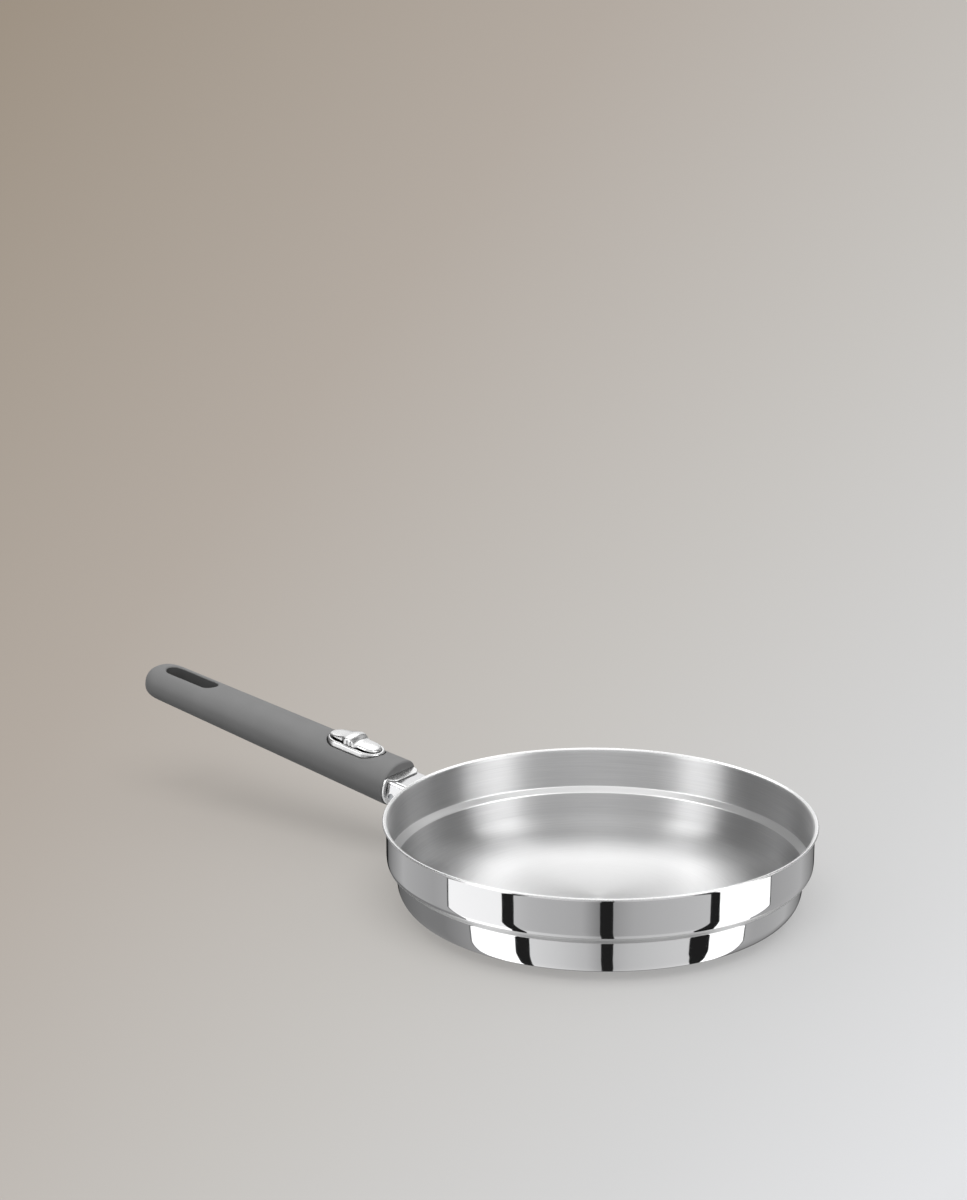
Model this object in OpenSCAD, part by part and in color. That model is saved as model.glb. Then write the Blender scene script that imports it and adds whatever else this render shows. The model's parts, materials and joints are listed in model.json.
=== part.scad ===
// Stacking frying pan with a stepped steel wall and a detachable soft-grip handle.
// Origin: centre of the base on the pan's axis. +Z is up and the handle leaves towards -X.
// Pieces of the handle are drawn in the handle's own axes: x from its mouth to its rear end,
// y across it and z square to its top, with zero on the centre line of the mouth.

/* [Pan] */
// Outside radius of the upper wall
wall_r = 121.2; // [113:0.2:130]
// Thickness of the steel sheet
wall_t = 0.8; // [0.6:0.1:1.2]
// Height of the rim above the underside of the bowl
rim_h = 48.8; // [44:0.2:70]
// Height at which the upper wall turns in to the step
step_h = 26; // [24:0.1:29]
// How far the lower body stands in from the upper wall
step_in = 4.7; // [3.5:0.1:6]
// Radius of the rounded edge above the step
step_edge_r = 2.2; // [1.8:0.1:3]
// Slope of the step from the vertical
step_slope = 50; // [40:1:60]
// Taper of the lower wall from the vertical
draft = 9; // [4:0.5:12]
// Radius of the bottom corner of the bowl
corner_r = 13; // [8:0.5:14]
// How far the pouring lip stands out from the wall
lip_out = 1.8; // [1.2:0.1:3]
// Slope of the lip from the vertical
lip_slope = 40; // [30:1:60]

/* [Base] */
// Radius of the base plate
base_r = 92.5; // [80:0.5:98]
// Thickness of the heat spreading disc
spreader_t = 3.2; // [2.4:0.1:6]
// Thickness of the base plate under the disc
cap_t = 0.6; // [0.4:0.1:1]

/* [Handle grip] */
// Length of the grip
grip_len = 199; // [195:1:220]
// Width of the grip at its mouth
grip_w = 32.7; // [32:0.1:36]
// Height of the grip at its mouth
grip_h = 27.1; // [26.6:0.1:30]
// Thickness of the soft skin
skin_t = 2.4; // [2:0.1:2.6]
// Distance of the mouth of the grip from the pan's wall
neck_len = 23.2; // [20:0.2:32]
// Height of the mouth's centre above the underside of the bowl
mouth_h = 39.4; // [38:0.2:44]
// Upward tilt of the handle
tilt = 9; // [6:0.5:12]

/* [Hang slot] */
// Length of the slot
slot_len = 39.5; // [30:0.5:42]
// Width of the slot
slot_w = 12.4; // [9:0.2:14]
// Distance of the slot's centre from the rear end of the grip
slot_in = 31; // [30:0.5:36]

/* [Bracket] */
// Width of the neck of the bracket
neck_w = 25; // [22:0.2:25.4]
// Height of the neck
neck_h = 13.9; // [12.5:0.1:14.2]
// Thickness of the neck's walls
neck_t = 2.2; // [1.6:0.1:3]
// Width of the tongue
tongue_w = 16; // [13:0.2:16.4]
// Thickness of the tongue
tongue_t = 3; // [2.6:0.1:3.2]
// Depth that the tongue reaches into the handle
tongue_in = 34; // [32:0.5:36]

/* [Latch] */
// Length of the oval bezel
bezel_len = 39; // [38.5:0.5:42]
// Width of the bezel
bezel_w = 19.5; // [18.5:0.1:20]
// Height of the bezel's top above the handle's centre line
bezel_top = 14; // [13.9:0.1:15]
// Length of the thumb slider
slider_len = 37; // [34:0.5:38]
// Width of the thumb slider
slider_w = 13.8; // [12.4:0.2:15]
// Width of the slider's crest
crest_w = 16.6; // [15.2:0.2:17]
// Height of the slider's crest above the bezel
crest_h = 4.8; // [4.4:0.1:6]
// Travel of the latch
latch_travel = 8; // [6:0.5:8.5]

/* [Hidden] */
$fn = 64;

// Length by which a cutting shape overruns the face that it opens
over = 1;
// Gap between faces that seat on each other in one assembly
seat_gap = 0.03;
// Gap between the soft skin and the core under it
skin_gap = 0.05;
// Gap at each side of a piece that slides
slide_gap = 0.1;

// Bowl
base_h = spreader_t + cap_t;
cap_edge_r = 1.4;
// Radius of the hollow under the step, and of the bend below the lip
step_fillet_r = 2;
lip_bend_r = 1.5;
// The section's arcs: centres of the edge, hollow, corner, bend and bead, in the order of the walls
edge_at = [wall_r - step_edge_r, step_h];
slope_len = (step_in - step_edge_r * (1 - cos(step_slope))
    - step_fillet_r * (cos(draft) - cos(step_slope))) / sin(step_slope);
hollow_at = edge_at + (step_edge_r + step_fillet_r) * facing(step_slope)
    - slope_len * [sin(step_slope), cos(step_slope)];
lower_top = hollow_at - step_fillet_r * facing(draft);
lower_low_z = corner_r * (1 - sin(draft));
corner_at = [
    lower_top[0] - (lower_top[1] - lower_low_z) * tan(draft) - corner_r * cos(draft), corner_r
];
bead_at = [wall_r + lip_out, rim_h - wall_t / 2];
lip_end = bead_at + wall_t / 2 * facing(lip_slope);
lip_len_up = (lip_end[0] - wall_r - lip_bend_r * (1 - cos(lip_slope))) / sin(lip_slope);
bend_at = [wall_r + lip_bend_r,
    lip_end[1] - lip_len_up * cos(lip_slope) - lip_bend_r * sin(lip_slope)];

// Handle axes
mouth_r = wall_r + neck_len;
mouth_z = base_h + mouth_h;
// Exponent of the grip's section, from 2 for an ellipse to a box
grip_power = 2.35;
// Shares of the mouth's width and height that are left at the rear end
rear_w_share = 0.96;
rear_h_share = 0.76;
// Lengths over which the rear end and the mouth are rounded
rear_round = 15;
mouth_round = 1.2;
ring_points = 40;
rear_round_shares = [0.22, 0.42, 0.6, 0.75, 0.87, 0.95, 0.99];
mouth_round_shares = [0.29, 0.71];

// Ferrule: a D-shaped collar inside the mouth, with a lip over the bracket
ferrule_in = 12;
ferrule_out = 1;
ferrule_t = 1.2;
ferrule_rim = 0.7;
flat_z = 6.9;
flat_t = 0.9;
lip_len = 5;
lip_corner_r = 6;
lip_w = 27.2;
ferrule_pin_r = 1.25;
ferrule_pin_x = 8.5;
ferrule_pin_z = -4;
ferrule_pin_len = 5;

// Bracket
neck_top = flat_z - flat_t - slide_gap;
neck_edge_r = 2.2;
neck_corner_r = 4;
neck_in = 4;
foot_t = 1.5;
foot_w = 33;
foot_h = 19;
tongue_z = 0.4;
tongue_tip_r = 3;
pin_r = 2.2;
pin_x = 4.2;
pin_rise = 3.6;
pin_sink = 1.1;
// Notch in the underside of the tongue
notch_x = 24;
notch_len = 4;
notch_w = 8.6;
notch_d = 2.3;

// Guide channel round the tongue
guide_t = 0.6;
guide_x0 = 5;
guide_x1 = 44;
guide_in_w = tongue_w + 2 * slide_gap;
guide_w = guide_in_w + 2 * guide_t;
guide_top = tongue_z + tongue_t + slide_gap + guide_t;

// Catch: a spring leaf under the tongue
leaf_t = 0.6;
leaf_gap = 0.35;
leaf_w = 8;
leaf_x1 = 60;
leaf_top = tongue_z - leaf_gap;
split_z = leaf_top - leaf_t;
hook_t = 3;
hook_rise = 2;
ear_x = 31;
ear_len = 3;
leaf_drop = 3.9;
rivet_r = 1.2;
rivet_head_r = 2;
rivet_head_t = 0.7;
rivet_depth = 4;
rivet_x = 52;
rivet_step = 5;

// Carriage under the deck
carriage_t = 1.2;
carriage_x = 18;
carriage_len = 12;
carriage_z = 6;
leg_t = 1.2;
leg_len = 8;
leg_gap = 0.2;
ramp_len = 5;
leg_drop = 2.45;
carriage_w = guide_w + 2 * (leg_gap + leg_t);
tab_t = 1.2;
tab_w = 6;
tab_gap = 0.25;
deck_z = carriage_z + carriage_t + 0.2 * carriage_t;
seat_z = bezel_top - 3.6 / 14 * bezel_top;

// Return spring on its rod
spring_r = 1.25;
spring_wall = 0.4;
spring_end_x = 48;
rod_r = 0.7;
rod_front_x = 39.5;
rod_rear_x = 52;
spring_z = guide_top + tab_gap + spring_r + 0.2 * spring_r;

// Bezel
bezel_x = 34.5;
bezel_wall = 2;
bezel_floor_t = 1.4;
bezel_skirt = 1.1;
bezel_edge_r = 0.7;
bezel_gap = 0.4;
screw_r = 0.9;
screw_head_r = 1.7;
screw_head_t = 1;
bezel_screw_span = 25;
bezel_screw_y = 5.6;

// Slider
post_w = 5.2;
post_len = 8;
post_x = 20;
slider_x = 35.4;
slider_gap = 0.15;
slider_slit = 0.5;
slider_rear_slit = 1.1;
// Shares of the stretch behind the crest over which the rear slit is full, and where it ends
rear_slit_shares = [0.2, 0.6, 0.8];
crest_x = 29.5;
crest_len = 10;
crest_corner_r = 1.6;
groove_x = 33;
groove_step = 2.6;
groove_r = 0.6;
groove_h = 2.9;
window_gap = 0.4;
window_w = post_w + 2 * window_gap;
slider_screw_x = 2;
slider_screw_step = 4;
// Side view of the slider: shares of its length from the front, and of the crest's height
slider_shares = [
    [0, 0.06], [0.01, 0.14], [0.035, 0.26], [0.07, 0.37], [0.11, 0.45], [0.16, 0.5],
    [0.23, 0.52], [0.3, 0.53], [0.335, 0.56], [0.36, 0.65], [0.385, 0.8], [0.41, 0.93],
    [0.44, 0.99], [0.48, 1], [0.53, 0.97], [0.58, 0.88], [0.63, 0.74], [0.68, 0.59],
    [0.74, 0.43], [0.8, 0.31], [0.86, 0.24], [0.92, 0.2], [0.97, 0.16], [0.99, 0.11], [1, 0.05]
];

// Core
core_x0 = 2;
spigot_x = neck_in + 0.05 * neck_in;
pocket_w = 20;
pocket_h = 5;
pocket_len = 22;
pocket_x0 = 66;
pocket_step = 28;
pocket_count = 3;
core_screw_x0 = 63;
core_screw_r = 1.25;
core_screw_head_r = 2.4;
core_screw_head_t = 1.8;
core_screw_sink = 4.6;
core_screw_rise = 6;
slot_liner_t = 1;
slot_x = grip_len - slot_in;

// Shapes used by several pieces

module in_handle() {
    translate([-mouth_r, 0, mouth_z]) rotate([0, tilt, 0]) rotate([0, 0, 180]) children();
}

// Extrudes an outline drawn across the handle along its length
module along(x0, length) {
    translate([x0, 0, 0]) rotate([90, 0, 90]) linear_extrude(length) children();
}

module block(x0, x1, w, z0, z1) {
    translate([x0, -w / 2, z0]) cube([x1 - x0, w, z1 - z0]);
}

module stadium(length, w) {
    for (s = [-1, 1]) translate([s * (length - w) / 2, 0]) circle(d = w);
    square([length - w, w], center = true);
}

module both_sides() {
    children();
    mirror([0, 1, 0]) children();
}

function signed_power(v, e) = sign(v) * pow(abs(v), e);

function lobe(a, b) = [for (i = [0:ring_points - 1]) let (t = 360 * i / ring_points)
    [a * signed_power(cos(t), 2 / grip_power), b * signed_power(sin(t), 2 / grip_power)]];

function grip_a(x, inset) = grip_w / 2 * (1 - (1 - rear_w_share) * x / grip_len) - inset;
function grip_b(x, inset) = grip_h / 2 * (1 - (1 - rear_h_share) * x / grip_len) - inset;

// One ring of the grip: its place, half width and half height
function ring(x, a, b) = [for (p = lobe(a, b)) [x, p[0], p[1]]];

function grip_rings(inset) = let (x1 = grip_len - inset, turn = rear_round - inset) concat(
    [for (s = inset > 0 ? [] : mouth_round_shares)
        let (x = mouth_round * (1 - cos(90 * s)), d = mouth_round * (1 - sin(90 * s)))
        ring(x, grip_a(x, d), grip_b(x, d))],
    [for (s = [inset > 0 ? 0 : mouth_round / grip_len, 0.45, 0.7])
        let (x = s * grip_len) ring(x, grip_a(x, inset), grip_b(x, inset))],
    [for (s = concat([0], rear_round_shares)) let (
            x = x1 - turn + turn * s,
            f = pow(1 - pow(s, 2.2), 1 / 2.2),
            g = pow(1 - pow(s, 3), 1 / 3))
        ring(x, grip_a(x, inset) * (0.3 + 0.7 * f), grip_b(x, inset) * (0.3 + 0.7 * g))]
);

module loft(rings) {
    n = ring_points;
    last = (len(rings) - 1) * n;
    polyhedron(
        [for (r = rings) each r],
        concat(
            [[for (i = [0:n - 1]) i]],
            [for (k = [0:len(rings) - 2], i = [0:n - 1]) let (a = k * n, b = a + n, j = (i + 1) % n)
                each [[a + i, b + i, b + j], [a + i, b + j, a + j]]],
            [[for (i = [n - 1:-1:0]) last + i]]
        ),
        convexity = 4
    );
}

module ferrule_outline(inset, top) {
    intersection() {
        polygon(lobe(grip_w / 2 - ferrule_rim - inset, grip_h / 2 - ferrule_rim - inset));
        translate([-grip_w, -grip_h]) square([2 * grip_w, grip_h + top]);
    }
}

module slot_hole(grow) {
    translate([slot_x, 0, -grip_h]) linear_extrude(2 * grip_h)
        stadium(slot_len + 2 * grow, slot_w + 2 * grow);
}

// Pan

// Direction square to a wall that leans in by an angle as it goes down
function facing(slope) = [cos(slope), -sin(slope)];

// Section from the axis to the bowl's outside, or to its inside for an inset of one sheet
module bowl_outline(inset) {
    rise = inset > 0 ? over : 0;
    difference() {
        union() {
            polygon([
                [0, inset], [corner_at[0], inset],
                corner_at + (corner_r - inset) * facing(draft),
                hollow_at - (step_fillet_r + inset) * facing(draft),
                hollow_at - (step_fillet_r + inset) * facing(step_slope),
                edge_at + (step_edge_r - inset) * facing(step_slope),
                edge_at + (step_edge_r - inset) * facing(0),
                bend_at - (lip_bend_r + inset) * facing(0),
                bend_at - (lip_bend_r + inset) * facing(lip_slope),
                lip_end - inset * facing(lip_slope),
                bead_at - wall_t / 2 * facing(lip_slope) + [rise, rise],
                [0, bead_at[1] + rise]
            ]);
            translate(corner_at) circle(corner_r - inset);
            translate(edge_at) circle(step_edge_r - inset);
        }
        translate(hollow_at) circle(step_fillet_r + inset);
        translate(bend_at) circle(lip_bend_r + inset);
    }
}

module pan_shell() {
    color([0.82, 0.82, 0.83]) translate([0, 0, base_h]) rotate_extrude($fn = 180) {
        difference() {
            bowl_outline(0);
            bowl_outline(wall_t);
        }
        translate(bead_at) circle(wall_t / 2);
    }
}

module heat_spreader() {
    color([0.7, 0.71, 0.73]) translate([0, 0, cap_t]) rotate_extrude($fn = 180) {
        square([base_r - cap_t - cap_edge_r, spreader_t]);
        translate([0, cap_edge_r]) square([base_r - cap_t - seat_gap, spreader_t - cap_edge_r]);
    }
}

module base_cap() {
    color([0.76, 0.76, 0.78]) rotate_extrude($fn = 180) difference() {
        union() {
            square([base_r - cap_edge_r, base_h - seat_gap]);
            translate([0, cap_edge_r]) square([base_r, base_h - seat_gap - cap_edge_r]);
            translate([base_r - cap_edge_r, cap_edge_r]) circle(cap_edge_r);
        }
        translate([0, cap_t]) square([base_r - cap_t - cap_edge_r, base_h]);
        translate([0, cap_t + cap_edge_r]) square([base_r - cap_t, base_h]);
    }
}

module neck_outline() {
    w = neck_w / 2;
    z0 = neck_top - neck_h;
    for (s = [-1, 1]) {
        translate([s * (w - neck_edge_r), neck_top - neck_edge_r]) circle(neck_edge_r);
        translate([s * (w - neck_corner_r), z0 + neck_corner_r]) circle(neck_corner_r);
    }
    translate([-w, z0 + neck_corner_r])
        square([neck_w, neck_h - neck_corner_r - neck_edge_r]);
    translate([neck_corner_r - w, z0]) square([neck_w - 2 * neck_corner_r, neck_corner_r]);
    translate([neck_edge_r - w, z0 + neck_corner_r])
        square([neck_w - 2 * neck_edge_r, neck_h - neck_corner_r]);
}

module tongue_outline() {
    w = tongue_w / 2;
    for (s = [-1, 1]) translate([tongue_in - tongue_tip_r, s * (w - tongue_tip_r)])
        circle(tongue_tip_r);
    translate([neck_in - over, -w]) square([tongue_in - tongue_tip_r - neck_in + over, tongue_w]);
    translate([neck_in, tongue_tip_r - w]) square([tongue_in - neck_in, tongue_w - 2 * tongue_tip_r]);
}

module cross_hole(length, r) {
    translate([-pin_x, 0, neck_top - neck_h + pin_rise]) rotate([90, 0, 0])
        cylinder(h = length, r = r, center = true);
}

module bracket() {
    color([0.84, 0.84, 0.85]) {
        difference() {
            in_handle() difference() {
                union() {
                    along(-2 * neck_len, 2 * neck_len + neck_in) neck_outline();
                    translate([0, 0, tongue_z]) linear_extrude(tongue_t) tongue_outline();
                }
                block(foot_t + neck_t - neck_len, neck_in - neck_t, neck_w - 2 * neck_t,
                    neck_top - neck_h - over, neck_top - neck_t);
                cross_hole(neck_w + over, pin_r + seat_gap);
                block(notch_x, notch_x + notch_len, notch_w, tongue_z - over,
                    tongue_z + notch_d);
            }
            cylinder(h = 2 * rim_h, r = wall_r + foot_t / 2, $fn = 180);
        }
        intersection() {
            difference() {
                cylinder(h = 2 * rim_h, r = wall_r + foot_t, $fn = 180);
                translate([0, 0, -over])
                    cylinder(h = 2 * rim_h + 2 * over, r = wall_r + seat_gap, $fn = 180);
            }
            translate([-wall_r, 0, mouth_z - neck_len * sin(tilt) + neck_top - neck_h / 2])
                cube([wall_r, foot_w, foot_h], center = true);
        }
    }
}

module cross_pin() {
    color([0.7, 0.7, 0.72]) in_handle() cross_hole(neck_w - 2 * pin_sink, pin_r);
}

// Handle

module lip_outline() {
    for (s = [-1, 1]) translate([lip_corner_r - lip_len - ferrule_out, s * (lip_w / 2 - lip_corner_r)])
        circle(lip_corner_r);
    translate([-lip_len - ferrule_out, lip_corner_r - lip_w / 2])
        square([lip_len + ferrule_out + over, lip_w - 2 * lip_corner_r]);
    translate([lip_corner_r - lip_len - ferrule_out, -lip_w / 2])
        square([lip_len + ferrule_out + over - lip_corner_r, lip_w]);
}

module ferrule_pin_set(gap) {
    both_sides() translate([ferrule_pin_x, grip_w / 2 - ferrule_rim - ferrule_pin_len, ferrule_pin_z])
        rotate([-90, 0, 0]) cylinder(h = ferrule_pin_len - 2 * ferrule_t, r = ferrule_pin_r + gap);
}

module ferrule() {
    color([0.85, 0.85, 0.86]) in_handle() difference() {
        union() {
            along(-ferrule_out, ferrule_out + ferrule_in - seat_gap) ferrule_outline(0, flat_z);
            translate([0, 0, flat_z - flat_t]) linear_extrude(flat_t) lip_outline();
        }
        along(-lip_len - ferrule_out - over, lip_len + ferrule_out + ferrule_in + 2 * over)
            ferrule_outline(ferrule_t, flat_z - flat_t);
        ferrule_pin_set(seat_gap);
    }
}

module ferrule_pins() {
    color([0.6, 0.6, 0.62]) in_handle() ferrule_pin_set(0);
}

module guide() {
    color([0.72, 0.72, 0.74]) in_handle() difference() {
        block(guide_x0, guide_x1, guide_w, tongue_z, guide_top);
        block(guide_x0 - over, guide_x1 + over, guide_in_w, tongue_z - over, guide_top - guide_t);
    }
}

module core_body() {
    difference() {
        union() {
            intersection() {
                loft(grip_rings(skin_t + skin_gap));
                union() {
                    block(ferrule_in, grip_len, 2 * grip_w, -grip_h, grip_h);
                    block(core_x0, grip_len, 2 * grip_w, flat_z + seat_gap, grip_h);
                    block(ferrule_in - over, grip_len, 2 * grip_w, -grip_h,
                        flat_z - flat_t - seat_gap);
                }
            }
            along(spigot_x, ferrule_in - spigot_x)
                ferrule_outline(ferrule_t + seat_gap, flat_z - flat_t - seat_gap);
        }
        // Ring for the bezel's skirt
        translate([bezel_x, 0, seat_z - bezel_skirt]) linear_extrude(grip_h)
            stadium(bezel_len + bezel_gap, bezel_w + bezel_gap);
        slot_hole(slot_liner_t + seat_gap);
        for (i = [0:pocket_count - 1])
            block(pocket_x0 + i * pocket_step, pocket_x0 + i * pocket_step + pocket_len,
                pocket_w, -pocket_h, pocket_h);
        core_screw_set(seat_gap);
        ferrule_pin_set(seat_gap);
    }
}

module core_screw_set(gap) {
    for (i = [0:pocket_count - 1]) translate([core_screw_x0 + i * pocket_step, 0, 0]) {
        translate([0, 0, -core_screw_sink]) cylinder(
            h = core_screw_sink + core_screw_rise, r = core_screw_r + gap);
        translate([0, 0, -core_screw_sink - core_screw_head_t]) cylinder(
            h = core_screw_head_t + gap, r = core_screw_head_r + gap);
        if (gap > 0) translate([0, 0, -grip_h])
            cylinder(h = grip_h - core_screw_sink, r = core_screw_head_r + gap);
    }
}

module core_screws() {
    color([0.55, 0.56, 0.58]) in_handle() core_screw_set(0);
}

module bezel_screw_set(gap) {
    for (s = [-1, 1], t = [-1, 1])
        translate([bezel_x - over + s * bezel_screw_span / 2, t * bezel_screw_y, deck_z]) {
            cylinder(h = seat_z + bezel_floor_t / 2 - deck_z, r = screw_r + gap);
            cylinder(h = screw_head_t, r1 = screw_head_r + gap, r2 = screw_r + gap);
        }
}

module core_upper() {
    color([0.2, 0.2, 0.21]) in_handle() difference() {
        union() {
            intersection() {
                core_body();
                block(0, grip_len, 2 * grip_w, split_z + seat_gap, grip_h);
            }
            // Platform that carries the bezel
            translate([bezel_x, 0, deck_z]) linear_extrude(seat_z - deck_z)
                stadium(bezel_len - 2 * bezel_wall - bezel_gap, bezel_w - 2 * bezel_wall - bezel_gap);
        }
        block(spigot_x - over, guide_x1 + seat_gap, guide_w + 2 * seat_gap,
            split_z - over, guide_top + seat_gap);
        block(carriage_x - over, carriage_x + carriage_len + latch_travel + over,
            carriage_w + 2 * leg_gap, split_z - over, deck_z);
        block(guide_x1 - over, spring_end_x, 2 * (spring_r + leg_gap), guide_top,
            spring_z + spring_r + leg_gap);
        block(carriage_x + carriage_len, guide_x1, 2 * (spring_r + leg_gap), guide_top,
            spring_z + spring_r + leg_gap);
        block(guide_x1 - over, leaf_x1 + over, leaf_w + over, split_z - over,
            leaf_top + rivet_head_t + over / 2);
        block(post_x - window_gap, post_x + post_len + latch_travel + window_gap,
            window_w, deck_z - over, bezel_top);
        translate([rod_front_x, 0, spring_z]) rotate([0, 90, 0])
            cylinder(h = rod_rear_x - rod_front_x + seat_gap, r = rod_r + seat_gap);
        bezel_screw_set(seat_gap);
    }
}

module core_lower() {
    color([0.2, 0.2, 0.21]) in_handle() difference() {
        intersection() {
            core_body();
            block(0, grip_len, 2 * grip_w, -grip_h, split_z);
        }
        // Trough in which the leaf and the carriage's legs move
        block(carriage_x - over, rivet_x - 2 * rivet_head_r, carriage_w + 2 * leg_gap,
            split_z - leaf_drop, split_z + over);
        rivet_set(seat_gap);
    }
}

module sleeve() {
    color([0.45, 0.45, 0.46]) in_handle() difference() {
        union() {
            difference() {
                loft(grip_rings(0));
                intersection() {
                    loft(grip_rings(skin_t));
                    union() {
                        block(ferrule_in, grip_len, 2 * grip_w, -grip_h, grip_h);
                        block(core_x0, grip_len, 2 * grip_w, flat_z, grip_h);
                    }
                }
                along(-over, over + ferrule_in) ferrule_outline(-seat_gap, flat_z + seat_gap);
            }
            intersection() {
                slot_hole(slot_liner_t);
                loft(grip_rings(skin_t / 2));
            }
        }
        slot_hole(0);
        translate([bezel_x, 0, 0]) linear_extrude(grip_h)
            stadium(bezel_len + 2 * bezel_gap, bezel_w + 2 * bezel_gap);
    }
}

module bezel() {
    color([0.88, 0.88, 0.88]) in_handle() difference() {
        translate([bezel_x, 0, 0]) {
            translate([0, 0, seat_z - bezel_skirt]) linear_extrude(
                bezel_top - bezel_edge_r - seat_z + bezel_skirt) stadium(bezel_len, bezel_w);
            translate([0, 0, bezel_top - bezel_edge_r]) linear_extrude(bezel_edge_r / 2)
                stadium(bezel_len - bezel_edge_r / 2, bezel_w - bezel_edge_r / 2);
            translate([0, 0, bezel_top - bezel_edge_r]) linear_extrude(bezel_edge_r)
                stadium(bezel_len - 3 / 2 * bezel_edge_r, bezel_w - 3 / 2 * bezel_edge_r);
        }
        translate([bezel_x, 0, seat_z + bezel_floor_t]) linear_extrude(bezel_top)
            stadium(bezel_len - 2 * bezel_wall, bezel_w - 2 * bezel_wall);
        translate([bezel_x, 0, seat_z - bezel_skirt - over]) linear_extrude(bezel_skirt + over)
            stadium(bezel_len - 2 * bezel_wall, bezel_w - 2 * bezel_wall);
        block(post_x - window_gap, post_x + post_len + latch_travel + window_gap,
            window_w, deck_z, bezel_top);
        bezel_screw_set(seat_gap);
    }
}

module bezel_screws() {
    color([0.55, 0.56, 0.58]) in_handle() bezel_screw_set(0);
}

module spring_rod() {
    color([0.62, 0.62, 0.64]) in_handle() translate([rod_front_x, 0, spring_z])
        rotate([0, 90, 0]) cylinder(h = rod_rear_x - rod_front_x, r = rod_r);
}

module catch_leaf() {
    color([0.66, 0.67, 0.7]) in_handle() difference() {
        union() {
            block(notch_x + slide_gap, leaf_x1, leaf_w, split_z, leaf_top);
            block(ear_x, ear_x + ear_len, carriage_w, split_z, leaf_top);
            block(notch_x + slide_gap, notch_x + slide_gap + hook_t, leaf_w, split_z,
                tongue_z + hook_rise);
        }
        rivet_set(seat_gap);
    }
}

module rivet_set(gap) {
    for (i = [0, 1]) translate([rivet_x + i * rivet_step, 0, leaf_top]) {
        translate([0, 0, -rivet_depth]) cylinder(h = rivet_depth + gap, r = rivet_r + gap);
        cylinder(h = rivet_head_t, r = rivet_head_r);
    }
}

module leaf_rivets() {
    color([0.6, 0.6, 0.62]) in_handle() rivet_set(0);
}

// Latch

module slider_side() {
    x0 = slider_x - slider_len / 2;
    x1 = x0 + slider_len;
    z0 = bezel_top + slider_gap;
    crest_end = crest_x + crest_len;
    polygon(concat(
        [for (p = slider_shares) [x0 + p[0] * slider_len, z0 + slider_slit + p[1] * (crest_h - slider_slit)]],
        [[x1, z0 + slider_slit],
            [crest_end + rear_slit_shares[2] * (x1 - crest_end), z0 + slider_slit],
            [crest_end + rear_slit_shares[1] * (x1 - crest_end), z0 + slider_rear_slit],
            [crest_end + rear_slit_shares[0] * (x1 - crest_end), z0 + slider_rear_slit],
            [crest_end, z0 + slider_slit],
            [crest_end - slider_slit, z0], [crest_x + slider_slit, z0], [crest_x, z0 + slider_slit],
            [x0, z0 + slider_slit]]
    ));
}

module slider_plan() {
    translate([slider_x, 0, 0]) stadium(slider_len, slider_w);
    translate([crest_x, crest_corner_r - crest_w / 2])
        square([crest_len, crest_w - 2 * crest_corner_r]);
    translate([crest_x + crest_corner_r, -crest_w / 2])
        square([crest_len - 2 * crest_corner_r, crest_w]);
    for (x = [crest_corner_r, crest_len - crest_corner_r], s = [-1, 1])
        translate([crest_x + x, s * (crest_w / 2 - crest_corner_r)]) circle(crest_corner_r);
}

module slider_screw_set(gap) {
    for (i = [0, 1])
        translate([post_x + slider_screw_x + i * slider_screw_step, 0, carriage_z - screw_head_t]) {
            cylinder(h = screw_head_t, r = screw_head_r);
            cylinder(h = seat_z + bezel_floor_t - carriage_z + screw_head_t, r = screw_r + gap);
        }
}

module slider() {
    color([0.9, 0.9, 0.9]) in_handle() difference() {
        union() {
            intersection() {
                translate([0, crest_w / 2, 0]) rotate([90, 0, 0]) linear_extrude(crest_w) slider_side();
                translate([0, 0, bezel_top]) linear_extrude(2 * crest_h) slider_plan();
            }
            block(post_x, post_x + post_len, post_w, carriage_z + carriage_t + seat_gap,
                bezel_top + slider_gap + slider_slit + slider_slit);
        }
        // Grooves down the flanks of the crest
        both_sides() for (i = [0, 1]) translate([groove_x + i * groove_step, crest_w / 2, bezel_top])
            cylinder(h = groove_h, r = groove_r);
        slider_screw_set(seat_gap);
    }
}

module carriage() {
    color([0.6, 0.61, 0.63]) in_handle() difference() {
        union() {
            block(carriage_x, carriage_x + carriage_len, carriage_w, carriage_z,
                carriage_z + carriage_t);
            block(carriage_x + carriage_len - tab_t, carriage_x + carriage_len, tab_w,
                guide_top + tab_gap, carriage_z + carriage_t);
            // Legs with ramps that press the leaf's ears down
            both_sides() translate([carriage_x + carriage_len, carriage_w / 2, 0])
                rotate([90, 0, 0]) linear_extrude(leg_t) polygon([
                    [0, carriage_z + carriage_t], [0, leaf_top + leg_gap],
                    [-ramp_len, leaf_top - leg_drop], [-leg_len, leaf_top - leg_drop],
                    [-leg_len, carriage_z + carriage_t]
                ]);
        }
        slider_screw_set(seat_gap);
    }
}

module slider_screws() {
    color([0.55, 0.56, 0.58]) in_handle() slider_screw_set(0);
}

module return_spring() {
    color([0.62, 0.63, 0.66]) in_handle()
        translate([carriage_x + carriage_len + seat_gap, 0, spring_z]) rotate([0, 90, 0])
        difference() {
            cylinder(h = spring_end_x - carriage_x - carriage_len - 2 * seat_gap, r = spring_r);
            translate([0, 0, -over]) cylinder(h = spring_end_x, r = spring_r - spring_wall);
        }
}

pan_shell();
heat_spreader();
base_cap();
bracket();
cross_pin();
ferrule();
ferrule_pins();
guide();
core_upper();
core_lower();
core_screws();
sleeve();
bezel();
bezel_screws();
spring_rod();
catch_leaf();
leaf_rivets();
slider();
carriage();
slider_screws();
return_spring();
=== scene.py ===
import json
import math

import bpy
import numpy as np
from mathutils import Matrix, Vector


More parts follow.
